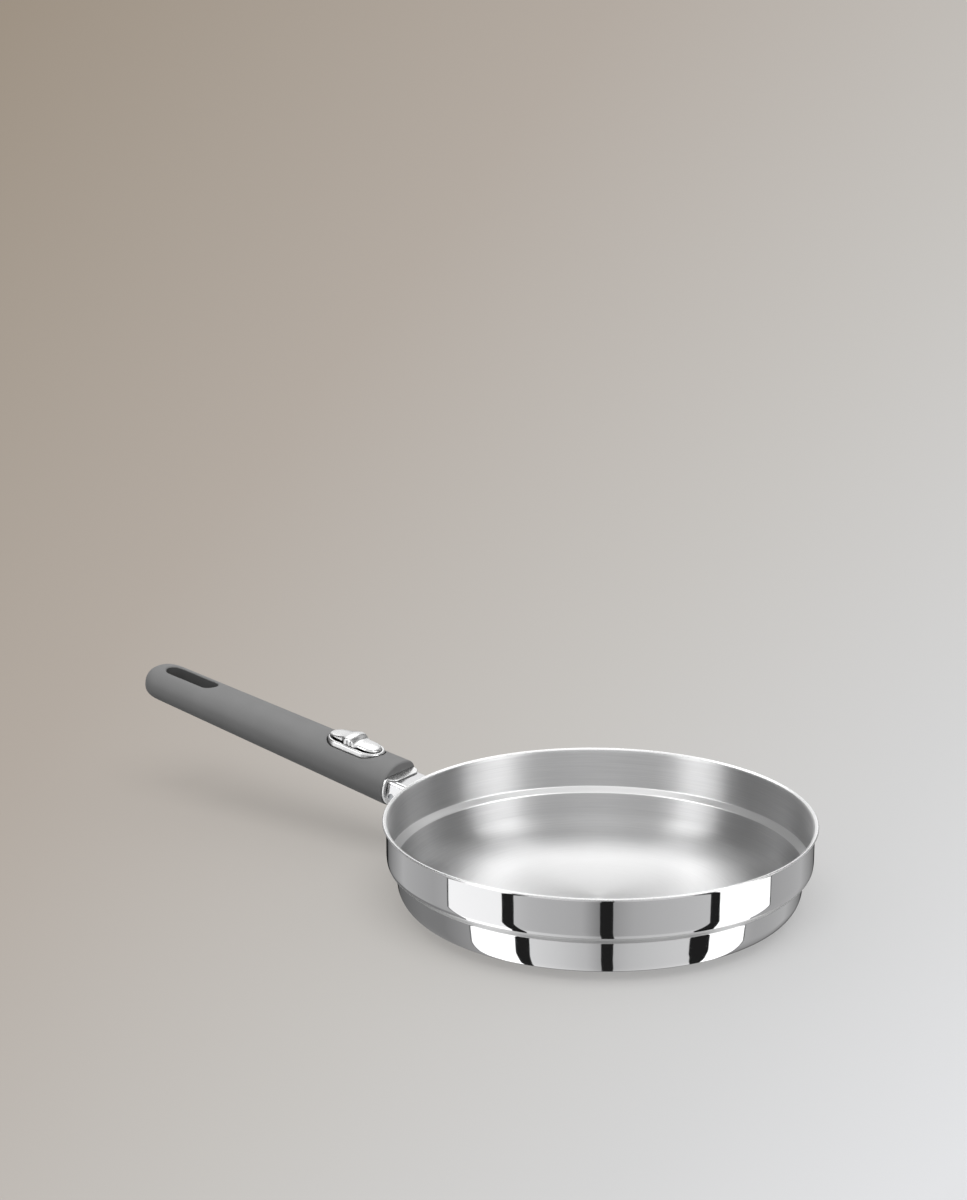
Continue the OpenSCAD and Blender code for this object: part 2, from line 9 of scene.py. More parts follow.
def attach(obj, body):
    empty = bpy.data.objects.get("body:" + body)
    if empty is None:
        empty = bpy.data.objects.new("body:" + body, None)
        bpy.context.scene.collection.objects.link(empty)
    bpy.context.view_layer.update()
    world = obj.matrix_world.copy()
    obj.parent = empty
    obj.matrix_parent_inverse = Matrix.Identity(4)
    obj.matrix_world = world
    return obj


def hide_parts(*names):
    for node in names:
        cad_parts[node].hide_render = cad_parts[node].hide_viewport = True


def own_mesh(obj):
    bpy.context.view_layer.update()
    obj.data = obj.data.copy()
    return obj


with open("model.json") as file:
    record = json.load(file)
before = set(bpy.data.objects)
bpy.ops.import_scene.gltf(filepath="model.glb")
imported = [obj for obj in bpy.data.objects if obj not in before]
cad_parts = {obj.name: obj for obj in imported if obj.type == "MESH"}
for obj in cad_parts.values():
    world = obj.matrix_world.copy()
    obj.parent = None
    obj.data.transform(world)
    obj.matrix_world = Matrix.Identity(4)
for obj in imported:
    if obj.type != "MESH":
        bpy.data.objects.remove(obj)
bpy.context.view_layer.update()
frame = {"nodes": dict(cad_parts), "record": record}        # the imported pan, its bodies and its joints
nodes = frame["nodes"]
print("frame loaded:", len(nodes), "nodes")

mm = 0.001


def toLinear(hexCode):
    # sRGB hex to the linear colour that the shaders work in
    channels = [int(hexCode[i:i + 2], 16) / 255 for i in (1, 3, 5)]
    return [c / 12.92 if c <= 0.04045 else ((c + 0.055) / 1.055) ** 2.4 for c in channels] + [1.0]


def addNode(tree, kind, sockets=None, **settings):
    # sockets: name or number -> a plain value, or (node, output) to link from
    node = tree.nodes.new(kind)
    for key, value in settings.items():
        setattr(node, key, value)
    for key, value in (sockets or {}).items():
        if isinstance(value, tuple) and isinstance(value[0], bpy.types.Node):
            tree.links.new(value[0].outputs[value[1]], node.inputs[key])
        else:
            node.inputs[key].default_value = value
    return node


# Camera: same stand and lens as the photograph

cameraSettings = {
    "place": (0.76953, -1.17146, 0.56904),
    "right": (0.80902, 0.58779, 0.0),
    "up": (-0.15718, 0.21634, 0.96358),
    "forward": (-0.56638, 0.77955, -0.26741),
    "lens": 78.693,
    "filmSide": 36.0,        # the long side of a 967 x 1200 frame
    "farthest": 100.0,
}
cameraData = bpy.data.cameras.new("photoCamera")
cameraData.sensor_width = cameraSettings["filmSide"]
cameraData.lens = cameraSettings["lens"]
cameraData.clip_end = cameraSettings["farthest"]
camera = bpy.data.objects.new("photoCamera", cameraData)
bpy.context.scene.collection.objects.link(camera)
rightAxis, upAxis, viewAxis = (Vector(cameraSettings[k]) for k in ("right", "up", "forward"))
camera.matrix_world = Matrix.Translation(Vector(cameraSettings["place"])) @ Matrix((
    (rightAxis.x, upAxis.x, -viewAxis.x),
    (rightAxis.y, upAxis.y, -viewAxis.y),
    (rightAxis.z, upAxis.z, -viewAxis.z))).to_4x4()
bpy.context.scene.camera = camera
bpy.context.scene.view_settings.view_transform = "Standard"
print("camera set")


# Studio: floor sweep with painted light and shade from warm to cool grey, sky light, one soft lamp, glossy cards

studio = {
    "floorSide": 30.0,
    "floorDrop": 0.0003,         # keeps the sweep clear of the base's face
    # the sweep's tones are painted light and shade, from the dark far left to the pale near right
    "floorTones": [(0.0, "#9f9385"), (0.33, "#b5aca3"), (0.61, "#c9c6c2"), (0.82, "#d7d7d7"), (1.0, "#e6e7e9")],
    "toneLean": 0.78,            # the tones run across the picture and this much down it
    "toneEnds": (-0.363, 0.348),
    "toneNearest": 0.9,
    "paintedGlowShare": 0.4,             # share of the sweep's tone painted on as its own glow, which the object's shadow doesn't reach
    "skyColour": "#b9b2aa",
    "skyLight": 0.62,
    "underLight": 0.17,
    "lampPower": 1.2,
    "lampSpread": 50.0,
    "lampTurn": (0.42, 0.12, 0.5),
    # what polished steel shows from behind the pan (stop 0) round to the camera's side (stop 1)
    "lowTones": [(0.0, 0.01), (0.018, 0.015), (0.03, 0.2), (0.07, 0.34), (0.16, 0.58),
                 (0.4, 0.5), (0.7, 0.66), (1.0, 0.66)],
    "steepTones": [(0.0, 0.22), (0.03, 0.26), (0.06, 0.32), (0.16, 0.42), (0.4, 0.55), (0.7, 0.8), (1.0, 0.88)],
    "highTones": [(0.0, 1.15), (0.05, 0.8), (0.1, 0.15), (0.2, 0.3), (0.35, 0.15),
                  (0.52, 0.1), (0.66, 0.3), (0.8, 0.8), (1.0, 1.1)],
    "turnReach": 0.9636,         # length of the camera's look on the floor plan
    "highBlend": 0.1,
    "steepBlend": (-0.5, -0.68),
}


def meshObject(name, points, faces, material=None, smooth=True):
    mesh = bpy.data.meshes.new(name)
    mesh.from_pydata([tuple(p) for p in points], [], [tuple(f) for f in faces])
    mesh.update()
    if smooth:
        mesh.polygons.foreach_set("use_smooth", [True] * len(mesh.polygons))
    piece = bpy.data.objects.new(name, mesh)
    bpy.context.scene.collection.objects.link(piece)
    if material:
        mesh.materials.append(material)
    return piece


def newMaterial(name):
    material = bpy.data.materials.new(name)
    material.use_nodes = True
    tree = material.node_tree
    tree.nodes.clear()
    return material, tree


def setStops(ramp, stops):
    while len(ramp.color_ramp.elements) < len(stops):
        ramp.color_ramp.elements.new(0.5)
    for element, (place, colour) in zip(ramp.color_ramp.elements, stops):
        element.position = place
        element.color = colour


def floorMaterial():
    # paper sweep with painted light and shade: darker and warmer far off to the left, paler and cooler near the
    # right, with a painted glow of its own tone
    material, tree = newMaterial("paperSweepPaintedLight")
    side = np.array(cameraSettings["right"]) - studio["toneLean"] * np.array(cameraSettings["up"])
    here = addNode(tree, "ShaderNodeNewGeometry")
    away = addNode(tree, "ShaderNodeVectorMath", {0: (here, "Position"), 1: cameraSettings["place"]},
                   operation="SUBTRACT")
    across = addNode(tree, "ShaderNodeVectorMath", {0: (away, 0), 1: side.tolist()}, operation="DOT_PRODUCT")
    depth = addNode(tree, "ShaderNodeVectorMath", {0: (away, 0), 1: cameraSettings["forward"]},
                    operation="DOT_PRODUCT")
    near = addNode(tree, "ShaderNodeMath", {0: (depth, "Value"), 1: studio["toneNearest"]}, operation="MAXIMUM")
    slope = addNode(tree, "ShaderNodeMath", {0: (across, "Value"), 1: (near, 0)}, operation="DIVIDE")
    share = addNode(tree, "ShaderNodeMapRange", {
        "Value": (slope, 0), "From Min": studio["toneEnds"][0], "From Max": studio["toneEnds"][1]})
    ramp = addNode(tree, "ShaderNodeValToRGB", {"Fac": (share, 0)})
    setStops(ramp, [(place, toLinear(tone)) for place, tone in studio["floorTones"]])
    paint = addNode(tree, "ShaderNodeBsdfDiffuse", {"Color": (ramp, 0)})
    # painted light: the sweep glows with its own tone, so the object's shadow on it stays faint
    own = addNode(tree, "ShaderNodeEmission", {"Color": (ramp, 0), "Strength": 1.0})
    shader = addNode(tree, "ShaderNodeMixShader", {0: studio["paintedGlowShare"], 1: (paint, 0), 2: (own, 0)})
    addNode(tree, "ShaderNodeOutputMaterial", {"Surface": (shader, 0)})
    return material


def buildStudio():
    half, drop = studio["floorSide"] / 2, studio["floorDrop"]
    corners = [(-half, -half, -drop), (half, -half, -drop), (half, half, -drop), (-half, half, -drop)]
    floor = meshObject("floorSweep", corners, [(0, 1, 2, 3)], floorMaterial(), smooth=False)
    floor.visible_glossy = False       # the polished wall shows the cards, as in the studio
    floor.visible_diffuse = False

    world = bpy.data.worlds.new("studioSky")
    bpy.context.scene.world = world
    world.use_nodes = True
    tree = world.node_tree
    tree.nodes.clear()
    ray = addNode(tree, "ShaderNodeLightPath")
    here = addNode(tree, "ShaderNodeTexCoord")
    split = addNode(tree, "ShaderNodeSeparateXYZ", {0: (here, "Generated")})
    flat = addNode(tree, "ShaderNodeCombineXYZ", {0: (split, 0), 1: (split, 1)})
    level = addNode(tree, "ShaderNodeVectorMath", {0: (flat, 0)}, operation="NORMALIZE")
    away = [*cameraSettings["forward"][:2], 0.0]
    behind = addNode(tree, "ShaderNodeVectorMath", {0: (level, 0), 1: away}, operation="DOT_PRODUCT")
    turn = addNode(tree, "ShaderNodeMapRange", {
        "Value": (behind, "Value"), "From Min": studio["turnReach"], "From Max": -studio["turnReach"]})
    ramps = []
    for tones in ("lowTones", "highTones", "steepTones"):
        ramps.append(addNode(tree, "ShaderNodeValToRGB", {"Fac": (turn, 0)}))
        setStops(ramps[-1], [(place, (tone, tone, tone, 1)) for place, tone in studio[tones]])
    lowRamp, highRamp, steepRamp = ramps
    height = addNode(tree, "ShaderNodeMapRange", {
        "Value": (split, 2), "From Min": -studio["highBlend"], "From Max": studio["highBlend"]})
    steep = addNode(tree, "ShaderNodeMapRange", {
        "Value": (split, 2), "From Min": studio["steepBlend"][0], "From Max": studio["steepBlend"][1]})
    lowTone = addNode(tree, "ShaderNodeMix", {0: (steep, 0), 6: (lowRamp, 0), 7: (steepRamp, 0)},
                      data_type="RGBA")
    mirrorTone = addNode(tree, "ShaderNodeMix", {0: (height, 0), 6: (lowTone, 2), 7: (highRamp, 0)},
                         data_type="RGBA")
    lampTone = addNode(tree, "ShaderNodeMix", {0: (height, 0), 2: studio["underLight"], 3: studio["skyLight"]})
    mirror = addNode(tree, "ShaderNodeBackground", {"Color": (mirrorTone, 2), "Strength": 1.0})
    light = addNode(tree, "ShaderNodeBackground", {"Color": (1, 1, 1, 1), "Strength": (lampTone, 0)})
    seen = addNode(tree, "ShaderNodeBackground", {"Color": toLinear(studio["skyColour"]), "Strength": 1.0})
    byGloss = addNode(tree, "ShaderNodeMixShader", {0: (ray, "Is Glossy Ray"), 1: (light, 0), 2: (mirror, 0)})
    byCamera = addNode(tree, "ShaderNodeMixShader", {0: (ray, "Is Camera Ray"), 1: (byGloss, 0), 2: (seen, 0)})
    addNode(tree, "ShaderNodeOutputWorld", {"Surface": (byCamera, 0)})

    lampData = bpy.data.lights.new("softLamp", "SUN")
    lampData.energy = studio["lampPower"]
    lampData.angle = math.radians(studio["lampSpread"])
    lamp = bpy.data.objects.new("softLamp", lampData)
    lamp.rotation_euler = studio["lampTurn"]
    lamp.visible_glossy = False
    bpy.context.scene.collection.objects.link(lamp)


# Glossy cards stand round the pan at some metres. Each has its glow from the first edge to the last,
# evenly spaced. A wall card is laid out by where the pan's side mirrors it: each row has the side's tilt
# below upright, then the first and last turn about the axis, in degrees. A sky card's rows have the
# elevation and two azimuths.
wallCards = {
    "leftWhite": ([1.4, 1.34], [(-12, -104, -87), (0, -98.4, -81.7), (6, -94.7, -80.0)]),
    "leftLowWhite": ([1.9], [
        (6, -94.7, -80.0), (9, -92.8, -79.1), (20, -92.1, -78.7), (34, -90.8, -78.3), (45, -88.4, -78.2),
        (56, -83, -77.5)]),
    "leftBlack": ([0.02], [
        (-12, -87, -84), (0, -81.7, -78.4), (9, -79.1, -75.0), (20, -78.7, -74.9), (34, -78.3, -74.8),
        (45, -78.2, -74.9), (56, -77.5, -74.6)]),
    "frontLeft": ([0.74, 0.66, 0.62, 0.6, 0.56, 0.3], [
        (-12, -84, -56.4), (0, -78.4, -56.4), (6, -76.1, -56.1)]),
    "frontLeftLow": ([0.98, 0.92, 0.86, 0.78, 0.7, 0.5], [
        (6, -76.1, -56.1), (9, -75, -56), (34, -74.8, -55.8), (56, -74.6, -55.7)]),
    "middleBlack": ([0.02], [
        (-12, -56.4, -53.1), (0, -56.4, -53.1), (9, -56, -52.8), (34, -55.8, -52.6), (56, -55.7, -52.6)]),
    "frontRight": ([0.42, 0.56, 0.62, 0.66, 0.7, 0.74], [
        (-12, -53.1, -22), (0, -53.1, -27.6), (6, -52.9, -30.6)]),
    "frontRightLow": ([0.62, 0.72, 0.78, 0.82, 0.86, 0.88], [
        (6, -52.9, -30.6), (9, -52.8, -32.1), (34, -52.6, -31.5), (56, -52.6, -30.4)]),
    "rightBlack": ([0.02], [
        (-12, -22, -19.5), (0, -27.6, -24.8), (9, -32.1, -26.1), (20, -31.7, -26.5), (34, -31.5, -26.7),
        (45, -31, -27), (56, -30.4, -27.3)]),
    "rightWhite": ([1.9], [
        (-12, -19.5, -2), (0, -24.8, -7.4), (9, -26.1, -14.3), (20, -26.5, -15.3), (34, -26.7, -17.1),
        (45, -27, -19.4), (56, -27.3, -23)]),
    "leftFrame": ([0.1], [
        (-12, -104.7, -104), (0, -98.9, -98.4), (9, -93.2, -92.8), (20, -92.5, -92.1), (34, -91.2, -90.8),
        (45, -88.8, -88.4), (56, -83.5, -83)]),
    "rightFrame": ([0.1], [
        (-12, -2, -1.4), (0, -7.4, -7.0), (9, -14.3, -13.9), (20, -15.3, -14.9), (34, -17.1, -16.7),
        (45, -19.4, -19), (56, -23, -22.5)]),
    "leftDim": ([0.12, 0.2, 0.27, 0.28, 0.42], [
        (6, -133, -95.2), (9, -133, -93.2), (20, -132, -92.5), (34, -131, -91.2), (45, -129, -88.8),
        (56, -124, -83.5)]),
}
skyCards = {
    "leftSoftBox": ([3.2], [(4, -130, -104), (25, -129, -103), (55, -131, -101)]),
    "rightSoftBox": ([3.2], [(4, -5, 27), (25, -7, 24), (55, -10, 27)]),
    "rearTop": ([2.6], [(38, 94, 156), (60, 78, 176)]),
    "leftGlow": ([0.2, 0.9, 0.9, 0.2], [(8, 56, 82), (52, 56, 82)]),
    "overhead": ([0.58, 0.58, 0.88, 0.96, 0.96, 0.88, 0.58, 0.5, 0.6, 1.2, 1.7, 1.2, 0.58], [
        (60, -180, 180), (75, -180, 180), (89.9, -180, 180)]),
}
cardGrid = {"distance": 5.0, "columns": 24, "rowSteps": 6}
# radius and height on the pan's side where the cards are mirrored, in mm: on the upper wall, and on the lower
# body, where both shrink with each degree of tilt
mirrorPlace = {"upper": (121.2, 40.0), "lower": (116.0, 24.0), "perDegree": (0.07, 0.36)}


def mirroredPlace(tip, turn):
    # where the pan's side, at this tilt and turn, sends the camera's look
    reach, height = mirrorPlace["upper"]
    if tip > 0:
        reach, height = (start - drop * tip
                         for start, drop in zip(mirrorPlace["lower"], mirrorPlace["perDegree"]))
    a, t = math.radians(turn), math.radians(tip)
    place = np.array([reach * math.cos(a), reach * math.sin(a), height]) * mm
    look = place - np.array(cameraSettings["place"])
    look /= np.linalg.norm(look)
    square = np.array([math.cos(t) * math.cos(a), math.cos(t) * math.sin(a), -math.sin(t)])
    return place + cardGrid["distance"] * (look - 2 * look.dot(square) * square)


def skyPlace(elevation, azimuth):
    e, a = math.radians(elevation), math.radians(azimuth)
    return cardGrid["distance"] * np.array([math.cos(e) * math.cos(a), math.cos(e) * math.sin(a), math.sin(e)])


def buildCards(cards, placeOf, material):
    steps = cardGrid["columns"]
    for name, (glow, corners) in cards.items():
        places = np.linspace(0, len(corners) - 1, cardGrid["rowSteps"] * (len(corners) - 1) + 1)
        rows = [[np.interp(at, range(len(corners)), values) for values in zip(*corners)] for at in places]
        points = [placeOf(row, first + (last - first) * k / steps)
                  for row, first, last in rows for k in range(steps + 1)]
        faces = [(a, a + 1, a + steps + 2, a + steps + 1)
                 for r in range(len(rows) - 1) for a in range(r * (steps + 1), r * (steps + 1) + steps)]
        card = meshObject("card" + name[0].upper() + name[1:], points, faces, material)
        shades = np.interp(np.linspace(0, 1, steps + 1), np.linspace(0, 1, len(glow)), glow)
        glowing = card.data.color_attributes.new("glow", "FLOAT_COLOR", "POINT")
        glowing.data.foreach_set("color", np.repeat(np.tile(shades, len(rows)), 4))
        card.visible_camera = card.visible_diffuse = card.visible_shadow = card.visible_transmission = False


def cardMaterial():
    # lit paper: each point glows as strongly as its own value says
    material, tree = newMaterial("litCardPaper")
    glow = addNode(tree, "ShaderNodeVertexColor", layer_name="glow")
    shine = addNode(tree, "ShaderNodeEmission", {"Color": (glow, 0), "Strength": 1.0})
    addNode(tree, "ShaderNodeOutputMaterial", {"Surface": (shine, 0)})
    return material


buildStudio()
litPaper = cardMaterial()
buildCards(wallCards, mirroredPlace, litPaper)
buildCards(skyCards, skyPlace, litPaper)
print("studio built")


# Materials

steelSkin = {"speckMm": 10 / 9, "spread": (0.85, 1.15)}


def steelMaterial(name, tone, roughness, waveMm=0, waveDepth=0.0):
    # steel and other bare or plated metal: a neutral grey mirror, dulled by how finely it was ground
    material, tree = newMaterial(name)
    here = addNode(tree, "ShaderNodeTexCoord")
    fine = addNode(tree, "ShaderNodeTexNoise", {
        "Vector": (here, "Object"), "Scale": 1000 / steelSkin["speckMm"], "Detail": 3.0})
    low, high = (roughness * share for share in steelSkin["spread"])
    rough = addNode(tree, "ShaderNodeMapRange", {"Value": (fine, 0), "To Min": low, "To Max": high})
    settings = {"Base Color": toLinear(tone), "Metallic": 1.0, "Roughness": (rough, 0)}
    if waveDepth:
        wave = addNode(tree, "ShaderNodeTexNoise", {
            "Vector": (here, "Object"), "Scale": 1000 / waveMm, "Detail": 1.0})
        bump = addNode(tree, "ShaderNodeBump", {
            "Height": (wave, 0), "Strength": 1.0, "Distance": waveDepth * mm})
        settings["Normal"] = (bump, 0)
    shader = addNode(tree, "ShaderNodeBsdfPrincipled", settings)
    addNode(tree, "ShaderNodeOutputMaterial", {"Surface": (shader, 0)})
    return material


brushing = {
    "ringMm": 0.625,                         # as coarse as the render shows
    "roundTurn": 3.0,
    "sideTones": ("#bebebf", "#dadada"),
    # the floor's tones are painted light: paler towards the wall, where more light from above reaches the real
    # floor
    "floorTones": [(0.1, "#c8c8c8"), (0.5, "#e6e6e6"), (0.85, "#ffffff")],
    "paintedLightReach": 0.1,                       # radius in metres at which the floor's painted lightening ends
    "grainShade": 0.9,
    "grainHeight": 0.35,
    "grainDepth": 0.05,
    "sideCoat": (0.38, 0.46, 1.0),           # roughness from and to, then the spread along the radius
    "floorCoat": (0.4, 0.5, 0.55),
    "cornerBlend": (0.062, 0.106),           # radii in metres between which the floor's coat becomes the side's
}


def brushedMaterial():
    # stainless steel, turned against an abrasive belt: rings round the pan's axis spread each reflection
    # along the radius
    material, tree = newMaterial("turnBrushedStainless")
    here = addNode(tree, "ShaderNodeTexCoord")
    split = addNode(tree, "ShaderNodeSeparateXYZ", {0: (here, "Object")})
    flat = addNode(tree, "ShaderNodeCombineXYZ", {0: (split, 0), 1: (split, 1)})
    radius = addNode(tree, "ShaderNodeVectorMath", {0: (flat, 0)}, operation="LENGTH")
    turn = addNode(tree, "ShaderNodeMath", {0: (split, 1), 1: (split, 0)}, operation="ARCTAN2")
    pitch = 1000 / brushing["ringMm"]
    rings = addNode(tree, "ShaderNodeMath", {0: (radius, "Value"), 1: pitch}, operation="MULTIPLY")
    rises = addNode(tree, "ShaderNodeMath", {0: (split, 2), 1: pitch}, operation="MULTIPLY")
    slow = addNode(tree, "ShaderNodeMath", {0: (turn, 0), 1: brushing["roundTurn"]}, operation="MULTIPLY")
    lines = addNode(tree, "ShaderNodeCombineXYZ", {0: (rings, 0), 1: (rises, 0), 2: (slow, 0)})
    grain = addNode(tree, "ShaderNodeTexNoise", {
        "Vector": (lines, 0), "Scale": 1.0, "Detail": 4.0, "Roughness": 0.6})
    dark, light = (toLinear(tone) for tone in brushing["sideTones"])
    sideTone = addNode(tree, "ShaderNodeMix", {0: (grain, 0), 6: dark, 7: light}, data_type="RGBA")
    outward = addNode(tree, "ShaderNodeMath", {0: (radius, "Value"), 1: 1 / brushing["paintedLightReach"]},
                      operation="MULTIPLY")
    # painted light: the floor's base colour grows paler with radius, and the grain darkens it a little
    out = addNode(tree, "ShaderNodeValToRGB", {"Fac": (outward, 0)})
    setStops(out, [(place, toLinear(tone)) for place, tone in brushing["floorTones"]])
    grainTone = addNode(tree, "ShaderNodeMapRange", {
        "Value": (grain, 0), "To Min": brushing["grainShade"], "To Max": 1.0})
    floorGrainAndPaintedLight = addNode(tree, "ShaderNodeVectorMath", {0: (out, 0), "Scale": (grainTone, 0)}, operation="SCALE")
    bump = addNode(tree, "ShaderNodeBump", {
        "Height": (grain, 0), "Strength": brushing["grainHeight"], "Distance": brushing["grainDepth"] * mm})
    along = addNode(tree, "ShaderNodeTangent", direction_type="RADIAL", axis="Z")
    coats = []
    for tone, coat in (((sideTone, 2), "sideCoat"), ((floorGrainAndPaintedLight, 0), "floorCoat")):
        low, high, spread = brushing[coat]
        rough = addNode(tree, "ShaderNodeMapRange", {"Value": (grain, 0), "To Min": low, "To Max": high})
        coats.append(addNode(tree, "ShaderNodeBsdfPrincipled", {
            "Base Color": tone, "Metallic": 1.0, "Roughness": (rough, 0), "Anisotropic": spread,
            "Anisotropic Rotation": 0.25, "Tangent": (along, 0), "Normal": (bump, 0)}))
    blendFrom, blendTo = brushing["cornerBlend"]
    onSide = addNode(tree, "ShaderNodeMapRange", {
        "Value": (radius, "Value"), "From Min": blendFrom, "From Max": blendTo},
        interpolation_type="SMOOTHSTEP")
    shader = addNode(tree, "ShaderNodeMixShader", {0: (onSide, 0), 1: (coats[1], 0), 2: (coats[0], 0)})
    addNode(tree, "ShaderNodeOutputMaterial", {"Surface": (shader, 0)})
    return material


rubberSkin = {"cloudMm": 50 / 3, "gritMm": 0.4, "gritHeight": 0.25, "gritDepth": 0.04, "roughness": 0.62}


def siliconeMaterial(name, dark, light):
    # moulded silicone rubber: dull, with a fine powdery skin
    material, tree = newMaterial(name)
    here = addNode(tree, "ShaderNodeTexCoord")
    cloud = addNode(tree, "ShaderNodeTexNoise", {
        "Vector": (here, "Object"), "Scale": 1000 / rubberSkin["cloudMm"], "Detail": 3.0})
    tone = addNode(tree, "ShaderNodeMix", {0: (cloud, 0), 6: toLinear(dark), 7: toLinear(light)},
                   data_type="RGBA")
    grit = addNode(tree, "ShaderNodeTexNoise", {
        "Vector": (here, "Object"), "Scale": 1000 / rubberSkin["gritMm"], "Detail": 2.0})
    bump = addNode(tree, "ShaderNodeBump", {
        "Height": (grit, 0), "Strength": rubberSkin["gritHeight"], "Distance": rubberSkin["gritDepth"] * mm})
    shader = addNode(tree, "ShaderNodeBsdfPrincipled", {
        "Base Color": (tone, 2), "Roughness": rubberSkin["roughness"], "IOR": 1.43, "Specular IOR Level": 0.35,
        "Normal": (bump, 0)})
    addNode(tree, "ShaderNodeOutputMaterial", {"Surface": (shader, 0)})
    return material


nylonSkin = {"mottleMm": 2.0, "tones": ("#242424", "#303031"), "height": 0.3, "depth": 0.05, "roughness": 0.55}


def plasticMaterial():
    # moulded glass-filled nylon: near black and slightly mottled
    material, tree = newMaterial("mouldedBlackNylon")
    here = addNode(tree, "ShaderNodeTexCoord")
    mottle = addNode(tree, "ShaderNodeTexNoise", {
        "Vector": (here, "Object"), "Scale": 1000 / nylonSkin["mottleMm"], "Detail": 4.0})
    dark, light = (toLinear(tone) for tone in nylonSkin["tones"])
    tone = addNode(tree, "ShaderNodeMix", {0: (mottle, 0), 6: dark, 7: light}, data_type="RGBA")
    bump = addNode(tree, "ShaderNodeBump", {
        "Height": (mottle, 0), "Strength": nylonSkin["height"], "Distance": nylonSkin["depth"] * mm})
    shader = addNode(tree, "ShaderNodeBsdfPrincipled", {
        "Base Color": (tone, 2), "Roughness": nylonSkin["roughness"], "IOR": 1.52, "Normal": (bump, 0)})
    addNode(tree, "ShaderNodeOutputMaterial", {"Surface": (shader, 0)})
    return material


# each metal has its tone and roughness, then the width and depth in mm of the waves that pressing leaves in it
finish = {
    # sharp reflections that waver a little
    "mirror": steelMaterial("mirrorPolishedStainless", "#d2d2d3", 0.035, 14, 0.012),
    "brushed": brushedMaterial(),
    # a soft pale line round the pouring edge
    "rolled": steelMaterial("rolledEdgeStainless", "#e6e6e6", 0.28),
    # a blurred grey band that the polishing wheel doesn't reach
    "dull": steelMaterial("pressedStepStainless", "#c2c2c2", 0.42),
    # a broad pale band inside the bowl: its own smoother pressed finish, with a paler tone that paints the
    # highlight from above
    "ledge": steelMaterial("pressedLedgePaintedHighlight", "#e8e8e8", 0.36),
    # an even sheen without clear reflections
    "satin": steelMaterial("satinGroundStainless", "#c4c4c6", 0.3),
    # clear highlights with slightly soft edges
    "bright": steelMaterial("buffedStainless", "#d3d3d4", 0.12, 6, 0.01),
    # softer than the bracket, so the collar reads as its own piece
    "tumbled": steelMaterial("tumblePolishedStainless", "#d8d8d8", 0.27),
    # pale, with the casting's softness under the plating
    "chrome": steelMaterial("chromedZincCasting", "#d0d0d0", 0.28, 5, 0.01),
    # dark and matt: painted shade inside the bezel's dish and under the slider
    "latchShade": steelMaterial("zincCastingPaintedShade", "#4a4a4a", 0.6),
    # dull grey fasteners and folded plates
    "plain": steelMaterial("zincPlatedSteel", "#a9abae", 0.38),
    # darker than the plated steel, from its tempering
    "spring": steelMaterial("hardenedSpringSteel", "#8f9298", 0.33),
    # pale and matt
    "alloy": steelMaterial("rolledAluminium", "#c3c5c8", 0.42),
    "silicone": siliconeMaterial("mouldedGreySilicone", "#7b7b7b", "#838383"),
    # the same silicone, darker: painted shade on the hanging slot's walls
    "liner": siliconeMaterial("siliconePaintedSlotShade", "#565656", "#5e5e5e"),
    "nylon": plasticMaterial(),
}
finishOfSlot = {
    "polished_steel": "mirror", "satin_steel": "satin", "bright_steel": "bright", "plain_steel": "plain",
    "spring_steel": "spring", "aluminium": "alloy", "chromed_zinc": "chrome", "dark_plastic": "nylon",
    "grey_silicone": "silicone",
}
for part in frame["record"]["subparts"]:
    node = nodes[part["node"]]
    node.data.materials.clear()
    node.data.materials.append(finish[finishOfSlot[part["material_slot"]]])
print("materials made:", len(finish))


# Turned pieces: bowl and base, with profiles in mm

bowl = {
    "wall": 121.2, "sheet": 0.8, "rim": 48.8, "draft": 9.0, "corner": 13.0, "baseHeight": 3.8,
    "step": 26.0, "stepIn": 4.7, "stepEdge": 2.2, "stepSlope": 50.0, "stepFillet": 2.0,
    "lip": 1.5, "lipSlope": 60.0, "roll": 0.7, "rollOverlap": 6, "edgeSoft": (4.6, 1.5), "lipSoft": (1.3, 0.6),
    "ledgeAt": 118.0, "ledgeRise": 0.2, "ledgeSlope": 62.0, "ledgeSoft": (1.3, 1.0), "ledgeShade": 46.0,
    "floorRings": (0.001, 40.0, 80.0), "turns": 384,
    "looks": ("mirror", "brushed", "rolled", "dull", "ledge"),
    # points on the bends, then how many of them come before the look changes
    "cornerPoints": 24, "filletPoints": (5, 6), "edgePoints": 22, "lipPoints": 12, "rollPoints": 25,
    "ledgePoints": 10, "filletSplit": (24, 28), "edgeDull": 9, "lipPolished": 9, "ledgeInset": 4,
}


def facing(slope):
    # direction square to a wall that leans in by an angle as it goes down
    return np.array([math.cos(math.radians(slope)), -math.sin(math.radians(slope))])


def roundPoints(centre, radius, first, last, count, hollow=False):
    # points of an arc with their normals
    reach = -radius if hollow else radius
    return [(*(centre + reach * facing(a)), *facing(a)) for a in np.linspace(first, last, count)]


def softPoints(first, corner, last, count):
    # points of a bend that starts gently, with their normals
    line = []
    for s in np.linspace(0, 1, count):
        place = (1 - s) ** 2 * first + 2 * s * (1 - s) * corner + s * s * last
        ahead = (1 - s) * (corner - first) + s * (last - corner)
        ahead /= np.linalg.norm(ahead)
        line.append((*place, ahead[1], -ahead[0]))
    return line


def upAlong(slope):
    # direction up such a wall
    return np.array([math.sin(math.radians(slope)), math.cos(math.radians(slope))])


